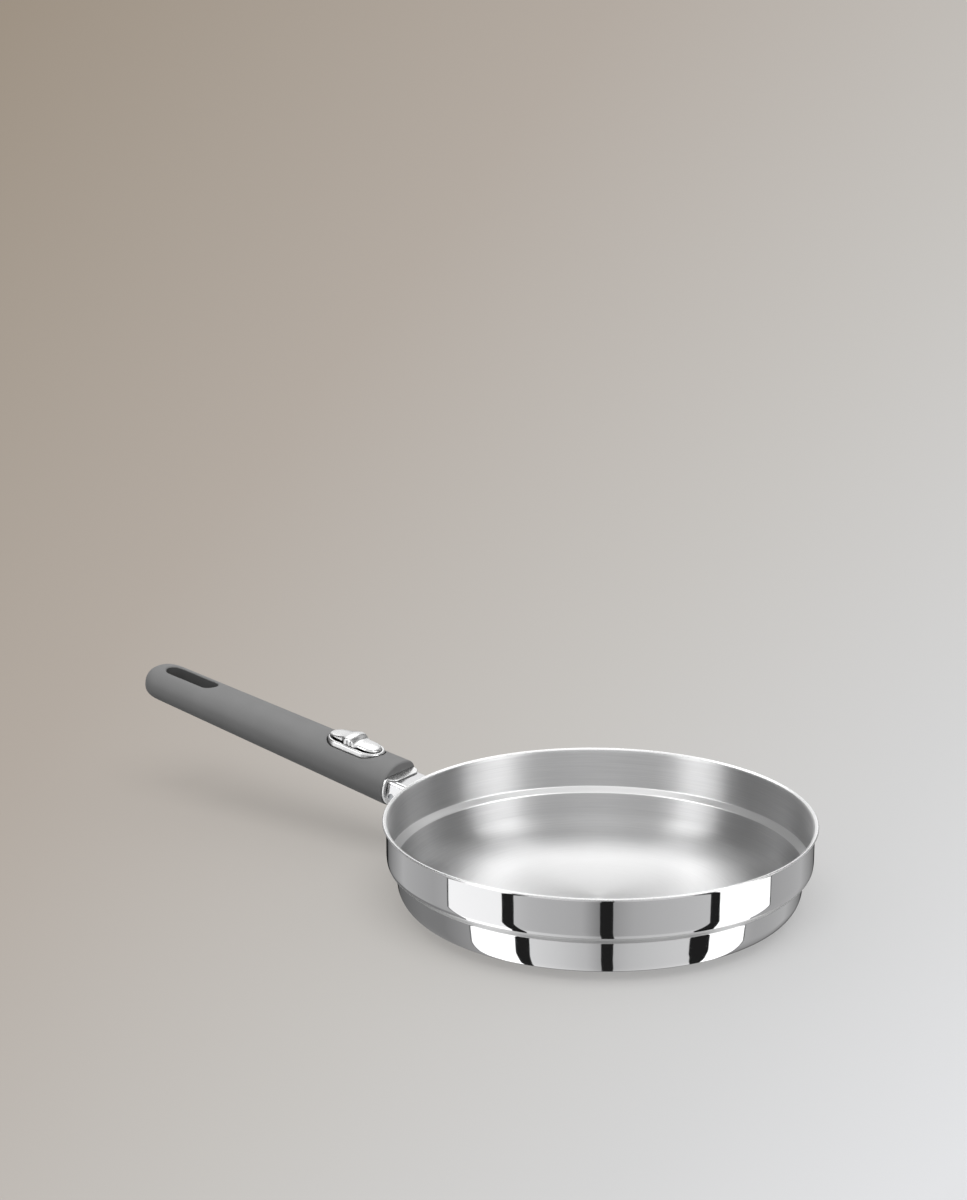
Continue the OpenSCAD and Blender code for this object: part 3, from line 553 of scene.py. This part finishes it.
def bowlProfile():
    b = bowl
    slope, draft, lip = b["stepSlope"], b["draft"], b["lipSlope"]
    up, out, wallUp, ledgeUp, upright = (upAlong(lean) for lean in (slope, lip, draft, b["ledgeSlope"], 0))
    edge = np.array([b["wall"] - b["stepEdge"], b["step"]])
    run = (b["stepIn"] - b["stepEdge"] * (1 - facing(slope)[0])
           - b["stepFillet"] * (facing(draft)[0] - facing(slope)[0])) / up[0]
    hollow = edge + (b["stepEdge"] + b["stepFillet"]) * facing(slope) - run * up
    lowerTop = hollow - b["stepFillet"] * facing(draft)
    lowerLow = b["corner"] * (1 + facing(draft)[1])
    corner = np.array([lowerTop[0] - (lowerTop[1] - lowerLow) * math.tan(math.radians(draft))
                       - b["corner"] * facing(draft)[0], b["corner"]])
    slant = edge + b["stepEdge"] * facing(slope)
    bend = slant + up * (b["wall"] - slant[0]) / up[0]           # where the slanted step would meet the wall
    roll = np.array([b["wall"] + b["lip"], b["rim"] - b["roll"]])
    rollSide = b["sheet"] - b["roll"]           # the lip's inner face runs onto the rolled edge
    lipEnd = roll + rollSide * facing(lip) - math.sqrt(b["roll"] ** 2 - rollSide ** 2) * out
    turn = lipEnd - out * (lipEnd[0] - b["wall"]) / out[0]       # where the lip would meet the wall
    edgeLine = softPoints(bend - b["edgeSoft"][1] * up, bend, bend + b["edgeSoft"][0] * upright,
                          b["edgePoints"])
    lipLine = softPoints(turn - b["lipSoft"][0] * upright, turn, turn + b["lipSoft"][1] * out,
                         b["lipPoints"])
    look = {name: number for number, name in enumerate(b["looks"])}
    lines = [
        (look["mirror"], [(r, 0, 0, -1) for r in b["floorRings"]]
         + roundPoints(corner, b["corner"], 90, draft, b["cornerPoints"])
         + roundPoints(hollow, b["stepFillet"], draft, b["filletSplit"][0], b["filletPoints"][0], hollow=True)),
        (look["dull"], roundPoints(hollow, b["stepFillet"], b["filletSplit"][1], slope, b["filletPoints"][1],
                                   hollow=True) + edgeLine[:b["edgeDull"]]),
        (look["mirror"], edgeLine[b["edgeDull"]:] + lipLine[:b["lipPolished"]]),
        (look["rolled"], lipLine[b["lipPolished"]:] + [(*lipEnd, *facing(lip))]),
    ]
    outer = [point for number, line in lines for point in line]
    looks = [number for number, line in lines for point in line]
    rollStart = lip + math.degrees(math.acos(rollSide / b["roll"]))
    rolled = roundPoints(roll, b["roll"], rollStart - b["rollOverlap"], lip - 180, b["rollPoints"])

    # inside, the step is a ledge with tighter bends: it takes the place of the skin's points from low to high
    low = len(b["floorRings"]) + b["cornerPoints"]
    high = len(outer) - len(lines[-1][1]) - b["lipPolished"]
    middle = np.array([b["ledgeAt"], slant[1] + (b["ledgeAt"] - slant[0]) / up[0] * up[1]
                       + b["sheet"] / up[0] + b["ledgeRise"]])
    foot = lowerTop - b["sheet"] * facing(draft)
    cross = np.linalg.solve(np.array([wallUp, -ledgeUp]).T, middle - foot)
    inside, bore = foot + cross[0] * wallUp, b["wall"] - b["sheet"]
    top = middle + ledgeUp * (bore - middle[0]) / ledgeUp[0]
    footSoft, topSoft = b["ledgeSoft"]
    skin = [(r - b["sheet"] * nr, z - b["sheet"] * nz, nr, nz) for r, z, nr, nz in outer]
    skin = (skin[:low]
            + softPoints(inside - footSoft * wallUp, inside, inside + footSoft * ledgeUp, b["ledgePoints"])
            + softPoints(top - topSoft * ledgeUp, top, top + topSoft * upright, b["ledgePoints"]) + skin[high:])
    ledgeEnd = low + 2 * b["ledgePoints"]
    inner = []
    for i, (r, z, nr, nz) in enumerate(skin):
        lean = math.degrees(math.atan2(-nz, nr))
        if low <= i < ledgeEnd:
            lean = min(lean, b["ledgeShade"])       # the pressed ledge shades rounder than its shape
        inner.append((r, z, *-facing(lean)))
    pressed = range(low + b["ledgeInset"], ledgeEnd - b["ledgeInset"])
    innerLooks = [look["ledge" if i in pressed else "brushed"] for i in reversed(range(len(skin)))]
    return outer + rolled + inner[::-1], looks + [look["rolled"]] * (len(rolled) + 1) + innerLooks[1:]


def turnedPiece(name, profile, turns, lift, looks, lookNames):
    ring = len(profile)
    angles = np.linspace(0, 2 * np.pi, turns, endpoint=False)
    r, z, nr, nz = np.array(profile).T
    x, y = np.cos(angles), np.sin(angles)
    points = np.stack([np.outer(x, r), np.outer(y, r), np.tile(z + lift, (turns, 1))], 2)
    normals = np.stack([np.outer(x, nr), np.outer(y, nr), np.tile(nz, (turns, 1))], 2)
    faces = []
    for k in range(turns):
        here, ahead = k * ring, (k + 1) % turns * ring
        faces += [(here + i, ahead + i, ahead + i + 1, here + i + 1) for i in range(ring - 1)]
    # both ends of the profile are closed at the middle
    faces += [tuple(k * ring for k in reversed(range(turns))), tuple(k * ring + ring - 1 for k in range(turns))]
    piece = meshObject(name, points.reshape(-1, 3) * mm, faces)
    for look in lookNames:
        piece.data.materials.append(finish[look])
    piece.data.polygons.foreach_set("material_index", looks[:ring - 1] * turns + [looks[0], looks[ring - 2]])
    piece.data.normals_split_custom_set_from_vertices([tuple(n) for n in normals.reshape(-1, 3)])
    return piece


bowlPoints, bowlLooks = bowlProfile()
panBowl = turnedPiece("panBowl", bowlPoints, bowl["turns"], bowl["baseHeight"], bowlLooks, bowl["looks"])
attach(panBowl, "pan")
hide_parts("pan_shell")

basePlate = {
    "radius": 92.5, "edge": 1.4, "height": 3.77, "sheet": 0.6, "hub": 0.001, "flatGap": 2, "sideGap": 0.4,
    "edgePoints": 8, "turns": 192, "looks": ("satin",),
}


def baseProfile():
    b = basePlate
    r, e, t = b["radius"], b["edge"], b["sheet"]
    return ([(b["hub"], 0, 0, -1), (r - e - b["flatGap"], 0, 0, -1)]
            + roundPoints(np.array([r - e, e]), e, 90, 0, b["edgePoints"])
            + [(r, e + b["sideGap"], 1, 0), (r, b["height"], 1, 0), (r - t, b["height"], -1, 0),
               (r - t, t + e, -1, 0), (r - t - e, t, 0, 1), (b["hub"], t, 0, 1)])


basePoints = baseProfile()
panBase = turnedPiece("panBase", basePoints, basePlate["turns"], 0, [0] * len(basePoints), basePlate["looks"])
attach(panBase, "pan")
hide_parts("base_cap")
print("bowl and base turned")


# Handle pieces: shaped from distance fields in the handle's own axes
# along runs from the mouth to the rear end, side towards -Y, high square to the top, all in mm

handleAxes = {"mouth": (-144.4, 0.0, 43.2), "tilt": 9.0}
tiltCos, tiltSin = math.cos(math.radians(handleAxes["tilt"])), math.sin(math.radians(handleAxes["tilt"]))
handleFrame = np.array([[-tiltCos, 0, tiltSin], [0, -1, 0], [tiltSin, 0, tiltCos]])    # rows: along, side, high


def toPan(points):
    return points @ handleFrame + np.array(handleAxes["mouth"])


def roundMax(a, b, r):
    # intersection of two solids with its edge rounded
    return np.minimum(-r, np.maximum(a, b)) + np.hypot(np.maximum(r + a, 0), np.maximum(r + b, 0))


def roundMin(a, b, r):
    # union of two solids with a fillet
    return np.maximum(r, np.minimum(a, b)) - np.hypot(np.maximum(r - a, 0), np.maximum(r - b, 0))


def between(x, low, high):
    return np.maximum(low - x, x - high)


def stadium(along, side, length, width):
    return np.hypot(np.maximum(np.abs(along) - (length - width) / 2, 0), side) - width / 2


def roundedBox(x, y, halfX, halfY, r):
    qx, qy = np.abs(x) - halfX + r, np.abs(y) - halfY + r
    return np.hypot(np.maximum(qx, 0), np.maximum(qy, 0)) + np.minimum(np.maximum(qx, qy), 0) - r


def lobe(side, high, halfW, halfH, power=2.35, least=1e-6):
    # distance to a squared-off ellipse
    p, q = np.abs(side / halfW) + least, np.abs(high / halfH) + least
    s = (p ** power + q ** power) ** (1 / power)
    slope = s ** (1 - power) * np.hypot(p ** (power - 1) / halfW, q ** (power - 1) / halfH)
    return (s - 1) / slope


coarse = 1.0


def gridLine(*spans):
    # each span is from, to and step
    line = [np.linspace(a, b, max(2, int(round((b - a) / (step * coarse)))), endpoint=False)
            for a, b, step in spans]
    return np.concatenate(line + [[spans[-1][1]]])


# how points are drawn onto a surface: lengths as shares of the smallest cell
surfaceFit = {"probe": 0.08, "rounds": 3, "longestMove": 0.45, "leastSlope": 0.05, "least": 1e-9}


def shapeFromField(name, field, grid, material, second=None, isSecond=None):
    # one vertex in each grid cell that the surface crosses, drawn onto it, with the field's own normals
    axes = [gridLine(*spans) for spans in grid]
    counts = [len(line) for line in axes]
    cell = min(np.diff(line).min() for line in axes)
    values = field(*np.meshgrid(*axes, indexing="ij"))
    inside = values < 0
    total, weight = np.zeros([n - 1 for n in counts] + [3]), np.zeros([n - 1 for n in counts])
    crossings = []
    for axis in range(3):
        a = [slice(None)] * 3
        b = [slice(None)] * 3
        a[axis], b[axis] = slice(None, -1), slice(1, None)
        a, b = tuple(a), tuple(b)
        edge = np.argwhere(inside[a] != inside[b])
        at = tuple(edge.T)
        va, vb = values[a][at], values[b][at]
        place = edge.astype(float)
        place[:, axis] += va / (va - vb)
        others = [k for k in range(3) if k != axis]
        keep = np.all([(edge[:, k] > 0) & (edge[:, k] < counts[k] - 1) for k in others], 0)
        crossings.append((axis, edge[keep], inside[a][at][keep]))
        for i in (0, 1):
            for j in (0, 1):
                spot = edge.copy()
                spot[:, others[0]] -= i
                spot[:, others[1]] -= j
                ok = np.all((spot >= 0) & (spot < np.array(counts) - 1), 1)
                np.add.at(total, tuple(spot[ok].T), place[ok])
                np.add.at(weight, tuple(spot[ok].T), 1)
    filled = np.argwhere(weight > 0)
    number = -np.ones(weight.shape, int)
    number[tuple(filled.T)] = np.arange(len(filled))
    spot = total[tuple(filled.T)] / weight[tuple(filled.T)][:, None]
    points = np.stack([np.interp(spot[:, k], np.arange(counts[k]), axes[k]) for k in range(3)], 1)
    step = cell * surfaceFit["probe"]

    def slopes(p):
        return np.stack([(field(*(p + step * e).T) - field(*(p - step * e).T)) / (2 * step)
                         for e in np.eye(3)], 1)

    for _ in range(surfaceFit["rounds"]):
        g = slopes(points)
        move = -(field(*points.T) / np.maximum((g ** 2).sum(1), surfaceFit["leastSlope"]))[:, None] * g
        size = np.maximum(np.linalg.norm(move, axis=1, keepdims=True), surfaceFit["least"])
        points = points + move * np.minimum(1, surfaceFit["longestMove"] * cell / size)
    normals = slopes(points)
    normals /= np.maximum(np.linalg.norm(normals, axis=1, keepdims=True), surfaceFit["least"])
    faces = []
    for axis, edge, out in crossings:
        j, k = (axis + 1) % 3, (axis + 2) % 3
        corners = []
        for dj, dk in ((1, 1), (0, 1), (0, 0), (1, 0)):
            spot = edge.copy()
            spot[:, j] -= dj
            spot[:, k] -= dk
            corners.append(number[tuple(spot.T)])
        quad = np.stack(corners, 1)
        quad[~out] = quad[~out][:, ::-1]
        faces.append(quad)
    faces = np.concatenate(faces)
    piece = meshObject(name, toPan(points) * mm, faces.tolist(), material)
    if second:
        piece.data.materials.append(second)
        chosen = isSecond(*points[faces].mean(1).T, normals[faces].mean(1)[:, 2])
        piece.data.polygons.foreach_set("material_index", chosen.astype(int))
    piece.data.normals_split_custom_set_from_vertices([tuple(n) for n in normals @ handleFrame])
    return piece


grip = {
    "length": 199.0, "width": 32.7, "height": 27.1, "skin": 2.4, "rearWidth": 0.96, "rearHeight": 0.76,
    "rearRound": 15.0, "rearFlat": (0.3, 0.7), "rearPowers": (2.2, 3), "mouthRound": 1.3, "mouthGap": 0.03,
    "slotAt": 168.0, "slotLength": 39.5, "slotWidth": 12.4, "slotLip": 1.4, "liner": 1.0, "slotShadeReach": 0.25,
    "slotShadeLean": 0.5, "ferruleDepth": 12.0, "flatHigh": 6.9, "flatRound": 0.9, "rim": 0.7, "deckFrom": 2.0,
    "wellRound": 0.4,
    "grid": [[(-1.5, 14, 0.45), (14, 57, 0.6), (57, 145, 2.0), (145, 184, 0.7), (184, 200.9, 0.5)],
             [(-17.2, 17.2, 0.4)], [(-14.6, 14.6, 0.4)]],
}
latch = {
    "bezelAt": 34.5, "bezelLength": 39.0, "bezelWidth": 19.5, "bezelTop": 14.0, "bezelWall": 2.0,
    "bezelSeat": 10.4, "bezelFloor": 1.4, "bezelSkirt": 1.1, "bezelEdge": 1.1, "dishRound": 0.35,
    "windowGap": 0.4, "gap": 0.65, "shadeDrop": 0.45, "shadeReach": 0.15,
    "sliderAt": 35.4, "sliderLength": 37.0, "sliderWidth": 13.6, "crestFrom": 29.6, "crestTo": 39.4,
    "crestWidth": 16.4, "crestCorner": 1.6, "crestFillet": 1.5,
    "postFrom": 20.0, "postLength": 8.0, "postWidth": 5.2, "postLow": 7.25, "postHigh": 15.0, "travel": 8.0,
    "bezelGrid": [[(14.2, 54.8, 0.24)], [(-10.4, 10.4, 0.24)], [(8.8, 14.7, 0.22)]],
    "sliderGrid": [[(16.2, 54.6, 0.24)], [(-8.9, 8.9, 0.24)], [(6.7, 19.8, 0.24)]],
}


def gripLobe(along, side, high, inset):
    g = grip
    x = np.clip(along, 0, g["length"])
    halfW = g["width"] / 2 * (1 - (1 - g["rearWidth"]) * x / g["length"]) - inset
    halfH = g["height"] / 2 * (1 - (1 - g["rearHeight"]) * x / g["length"]) - inset
    end, turn = g["length"] - inset, g["rearRound"] - inset
    s = np.clip((along - end + turn) / turn, 0, 1)
    flat, bulge = g["rearFlat"]
    wide, tall = (flat + bulge * (1 - s ** power) ** (1 / power) for power in g["rearPowers"])
    return np.maximum(lobe(side, high, halfW * wide, halfH * tall), along - end)


def dShape(side, high, inset, top):
    g = grip
    rounded = lobe(side, high, g["width"] / 2 - g["rim"] - inset, g["height"] / 2 - g["rim"] - inset)
    return roundMax(rounded, high - top, g["flatRound"])


def slotShape(along, side, grow=0.0):
    return stadium(along - grip["slotAt"], side, grip["slotLength"] + 2 * grow, grip["slotWidth"] + 2 * grow)


def sleeveField(along, side, high):
    g = grip
    body = roundMax(gripLobe(along, side, high, 0), -along, g["mouthRound"])
    room = np.minimum(g["ferruleDepth"] - along, np.maximum(g["deckFrom"] - along, g["flatHigh"] - high))
    room = np.maximum(gripLobe(along, side, high, g["skin"]), room)
    room = np.maximum(room, -slotShape(along, side, g["liner"]))
    mouth = dShape(side, high, -g["mouthGap"], g["flatHigh"] + g["mouthGap"])
    mouth = np.maximum(mouth, along - g["ferruleDepth"])
    body = np.maximum(np.maximum(body, -room), -mouth)
    body = roundMax(body, -slotShape(along, side), g["slotLip"])
    well = np.maximum(stadium(along - latch["bezelAt"], side, latch["bezelLength"] + 2 * latch["gap"],
                              latch["bezelWidth"] + 2 * latch["gap"]), -high)
    return roundMax(body, -well, g["wellRound"])


# painted shade: faces on the slot's walls take the darker silicone
def isSlotShade(along, side, high, up):
    return (slotShape(along, side) < grip["slotShadeReach"]) & (np.abs(up) < grip["slotShadeLean"])


ferrule = {
    "out": 1.0, "depth": 11.97, "wall": 1.2, "flange": 3.0, "flangeWall": 2.5, "plate": 0.9, "outRound": 0.45,
    "inRound": 0.3, "lipOut": 6.0, "lipIn": 3, "lipWidth": 27.2, "lipCorner": 6.0, "lipRound": 0.35,
    "grid": [[(-7.0, 12.8, 0.3)], [(-16.6, 16.6, 0.3)], [(-13.8, 7.8, 0.3)]],
}


def ferruleField(along, side, high):
    f = ferrule
    outside = dShape(side, high, 0, grip["flatHigh"])
    outside = roundMax(outside, between(along, -f["out"], f["depth"]), f["outRound"])
    wall = np.where(along < f["flange"], f["flangeWall"], f["wall"])
    inside = dShape(side, high, wall, grip["flatHigh"] - f["plate"])
    collar = roundMax(outside, -inside, f["inRound"])
    half = (f["lipOut"] + f["lipIn"]) / 2
    plan = roundedBox(along + f["lipOut"] - half, side, half, f["lipWidth"] / 2, f["lipCorner"])
    plate = roundMax(plan, between(high, grip["flatHigh"] - f["plate"], grip["flatHigh"]), f["lipRound"])
    return np.minimum(collar, np.maximum(plate, along - f["lipIn"]))


bracket = {
    "top": 5.9, "width": 25.0, "height": 13.9, "wall": 2.2, "topEdge": 2.2, "lowEdge": 4.0, "in": 4.0,
    "length": 23.2, "endRound": 0.5, "hollowDrop": 4, "hollowCorner": 1.5, "hollowRound": 0.4,
    "seamHigh": 3.5, "seam": 0.34, "seamCorner": 0.1, "seamRound": 0.12,
    "footSheet": 1.5, "footWidth": 33.0, "footHeight": 19.0, "footCorner": 4.0, "footRound": 0.5,
    "wallGap": 0.03, "neckGap": 0.6, "weld": 2.2,
    "tongueWidth": 16.0, "tongueLow": 0.4, "tongueSheet": 3.0, "tongueIn": 34.0, "tongueTip": 3.0,
    "tongueHalf": 20, "tongueRoot": 1, "tongueRound": 0.3,
    "notchAt": 24.0, "notchLength": 4.0, "notchWidth": 8.6, "notchDeep": 2.3, "notchRound": 0.2,
    "pinAt": -4.2, "pinRise": 3.6, "pinRadius": 2.23, "pinRound": 0.35,
    "grid": [[(-27, 35, 0.34)],
             [(-17.6, -13, 0.34), (-13, -12, 0.16), (-12, 12, 0.34), (12, 13, 0.16), (13, 17.6, 0.34)],
             [(-13.0, 2.9, 0.34), (2.9, 4.1, 0.15), (4.1, 12.5, 0.34)]],      # finest at the seam
}


def bracketField(along, side, high):
    b = bracket
    panX = handleAxes["mouth"][0] - along * tiltCos + high * tiltSin
    panZ = handleAxes["mouth"][2] + along * tiltSin + high * tiltCos
    radius = np.hypot(panX, side)
    middle = b["top"] - b["height"] / 2
    corner = np.where(high > middle, b["topEdge"], b["lowEdge"])
    neck = roundedBox(side, high - middle, b["width"] / 2, b["height"] / 2, corner)
    seam = roundedBox(np.abs(side) - b["width"] / 2, high - b["seamHigh"], b["seam"], b["seam"],
                      b["seamCorner"])
    neck = roundMax(neck, -seam, b["seamRound"])
    neck = roundMax(neck, along - b["in"], b["endRound"])
    hollow = roundedBox(side, high - middle + b["wall"] + b["hollowDrop"], b["width"] / 2 - b["wall"],
                        b["height"] / 2 + b["hollowDrop"], b["hollowCorner"])
    hollow = np.maximum(hollow, between(along, b["footSheet"] + b["wall"] - b["length"], b["in"] - b["wall"]))
    neck = roundMax(neck, -hollow, b["hollowRound"])
    footZ = handleAxes["mouth"][2] - b["length"] * tiltSin + b["top"] - b["height"] / 2
    foot = roundMax(roundedBox(side, panZ - footZ, b["footWidth"] / 2, b["footHeight"] / 2, b["footCorner"]),
                    between(radius, bowl["wall"] + b["wallGap"], bowl["wall"] + b["footSheet"]), b["footRound"])
    foot = np.maximum(foot, panX)
    body = roundMin(np.maximum(neck, bowl["wall"] + b["neckGap"] - radius), foot, b["weld"])
    body = np.maximum(body, bowl["wall"] + b["wallGap"] - radius)
    tip = roundedBox(along - b["tongueIn"] + b["tongueHalf"], side,
                     b["tongueHalf"], b["tongueWidth"] / 2, b["tongueTip"])
    tongue = roundMax(tip, between(high, b["tongueLow"], b["tongueLow"] + b["tongueSheet"]), b["tongueRound"])
    tongue = np.maximum(tongue, b["in"] - b["tongueRoot"] - along)
    notch = np.maximum(np.maximum(between(along, b["notchAt"], b["notchAt"] + b["notchLength"]),
                                  np.abs(side) - b["notchWidth"] / 2), high - b["tongueLow"] - b["notchDeep"])
    tongue = roundMax(tongue, -notch, b["notchRound"])
    body = np.minimum(body, tongue)
    pin = np.hypot(along - b["pinAt"], high - b["top"] + b["height"] - b["pinRise"]) - b["pinRadius"]
    return roundMax(body, -pin, b["pinRound"])


def dishShape(along, side):
    t = latch
    return stadium(along - t["bezelAt"], side, t["bezelLength"] - 2 * t["bezelWall"],
                   t["bezelWidth"] - 2 * t["bezelWall"])


def bezelField(along, side, high):
    t = latch
    plan = stadium(along - t["bezelAt"], side, t["bezelLength"], t["bezelWidth"])
    outside = roundMax(plan, high - t["bezelTop"], t["bezelEdge"])
    outside = np.maximum(outside, t["bezelSeat"] - t["bezelSkirt"] - high)
    inner = dishShape(along, side)
    dish = np.maximum(inner, t["bezelSeat"] + t["bezelFloor"] - high)
    ring = roundMax(outside, -dish, t["dishRound"])
    ring = np.maximum(ring, -np.maximum(inner, high - t["bezelSeat"]))
    gap = t["windowGap"]
    window = np.maximum(between(along, t["postFrom"] - gap, t["postFrom"] + t["postLength"] + t["travel"] + gap),
                        np.abs(side) - t["postWidth"] / 2 - gap)
    return np.maximum(ring, -window)


# painted shade: the bezel's inner dish, below its top, takes the dark metal
def isBezelPaintedShade(along, side, high, up):
    return (high < latch["bezelTop"] - latch["shadeDrop"]) & (dishShape(along, side) < latch["shadeReach"])


sliderBack = {      # heights of the slider's back along its middle, and of its lower edge
    "at": [16.0, 17.0, 18.0, 20.0, 23.0, 27.0, 29.5, 31.0, 32.3, 33.6,
           35.5, 37.3, 39.0, 41.0, 43.5, 47.5, 50.5, 52.5, 54.0, 55.0],
    "top": [14.4, 14.9, 15.5, 16.2, 16.7, 16.8, 16.7, 16.75, 17.5, 18.9,
            19.35, 19.3, 18.9, 18.2, 17.5, 16.7, 16.1, 15.5, 14.8, 14.4],
    "lowAt": [16.0, 19.0, 22.0, 26.0, 29.4, 30.2, 39.0, 40.0, 43.5, 47.5, 50.5, 52.5, 55.0],
    "low": [14.25, 14.35, 14.6, 14.6, 14.45, 14.15, 14.15, 14.5, 14.95, 15.05, 14.8, 14.35, 14.15],
    "from": 10.0, "to": 62.0, "step": 0.1, "soft": 0.6, "softSteps": 30,
    "crown": 1.0, "crownSide": 7.0, "topLean": 0.8, "topRound": 1.1, "lowRound": 0.2,
    "groovesAt": (33.0, 35.6), "grooveRadius": 0.62, "grooveIn": 0.1, "grooveStretch": 0.9, "grooveTop": 17.2,
    "grooveRound": 0.25, "shadeBelow": 14.0, "shadeUnder": -0.5,
}


def smoothLine(at, heights):
    s = sliderBack
    fine = np.arange(s["from"], s["to"], s["step"])
    line = np.interp(fine, at, heights)
    reach = s["softSteps"]
    bell = np.exp(-0.5 * (np.arange(-reach, reach + 1) * s["step"] / s["soft"]) ** 2)
    line = np.convolve(np.pad(line, reach, mode="edge"), bell / bell.sum(), mode="valid")
    return fine, line


topLine = smoothLine(sliderBack["at"], sliderBack["top"])
lowLine = smoothLine(sliderBack["lowAt"], sliderBack["low"])


def sliderField(along, side, high):
    t, s = latch, sliderBack
    plan = stadium(along - t["sliderAt"], side, t["sliderLength"], t["sliderWidth"])
    crest = roundedBox(along - (t["crestFrom"] + t["crestTo"]) / 2, side, (t["crestTo"] - t["crestFrom"]) / 2,
                       t["crestWidth"] / 2, t["crestCorner"])
    plan = roundMin(plan, crest, t["crestFillet"])
    roof = high - np.interp(along, *topLine) + s["crown"] * (side / s["crownSide"]) ** 2
    shell = roundMax(plan, roof * s["topLean"], s["topRound"])
    shell = roundMax(shell, np.interp(along, *lowLine) - high, s["lowRound"])
    for place in s["groovesAt"]:
        inward = (np.abs(side) - t["crestWidth"] / 2 - s["grooveIn"]) * s["grooveStretch"]
        groove = np.hypot(along - place, inward) - s["grooveRadius"]
        shell = roundMax(shell, -np.maximum(groove, high - s["grooveTop"]), s["grooveRound"])
    post = np.maximum(between(along, t["postFrom"], t["postFrom"] + t["postLength"]),
                      np.abs(side) - t["postWidth"] / 2)
    return np.minimum(shell, np.maximum(post, between(high, t["postLow"], t["postHigh"])))


# painted shade: the slider's underside and low sides take the dark metal
def isSliderPaintedShade(along, side, high, up):
    return (up < sliderBack["shadeUnder"]) | (high < sliderBack["shadeBelow"])


def dress(piece, body, node):
    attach(piece, body)
    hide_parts(node)
    print("shaped", piece.name, len(piece.data.polygons), "faces")


# the slot's walls get the darker silicone as painted shade
gripSleeve = shapeFromField("gripSleeve", sleeveField, grip["grid"], finish["silicone"], finish["liner"],
                            isSlotShade)
dress(gripSleeve, "handle", "sleeve")
mouthFerrule = shapeFromField("mouthFerrule", ferruleField, ferrule["grid"], finish["tumbled"])
dress(mouthFerrule, "handle", "ferrule")
panBracket = shapeFromField("panBracket", bracketField, bracket["grid"], finish["bright"])
dress(panBracket, "pan", "bracket")
# the bezel's dish and the slider's underside get the dark metal as painted shade
latchBezel = shapeFromField("latchBezel", bezelField, latch["bezelGrid"], finish["chrome"], finish["latchShade"],
                            isBezelPaintedShade)
dress(latchBezel, "handle", "bezel")
thumbSlider = shapeFromField("thumbSlider", sliderField, latch["sliderGrid"], finish["chrome"], finish["latchShade"],
                             isSliderPaintedShade)
dress(thumbSlider, "latch", "slider")

# Return spring: a wound coil where the CAD keeps a tube

coil = {
    "from": 30.05, "to": 47.95, "high": 5.65, "radius": 1.02, "wire": 0.2,
    "turns": 11, "perTurn": 18, "sides": 6,
}


def woundCoil():
    c = coil
    count = c["turns"] * c["perTurn"] + 1
    angle = np.linspace(0, 2 * np.pi * c["turns"], count)
    along = np.linspace(c["from"] + c["wire"], c["to"] - c["wire"], count)
    points = []
    for a, x in zip(angle, along):
        for k in range(c["sides"]):
            turn = 2 * math.pi * k / c["sides"]
            r = c["radius"] + c["wire"] * math.cos(turn)
            points.append((x + c["wire"] * math.sin(turn), r * math.cos(a), c["high"] + r * math.sin(a)))
    n = c["sides"]
    faces = [(i * n + k, i * n + (k + 1) % n, (i + 1) * n + (k + 1) % n, (i + 1) * n + k)
             for i in range(count - 1) for k in range(n)]
    faces += [tuple(range(n))[::-1], tuple(range((count - 1) * n, count * n))]
    return meshObject("returnCoil", toPan(np.array(points)) * mm, faces, finish["spring"])


returnCoil = woundCoil()
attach(returnCoil, "handle")
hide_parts("return_spring")
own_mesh(returnCoil)
print("spring wound")
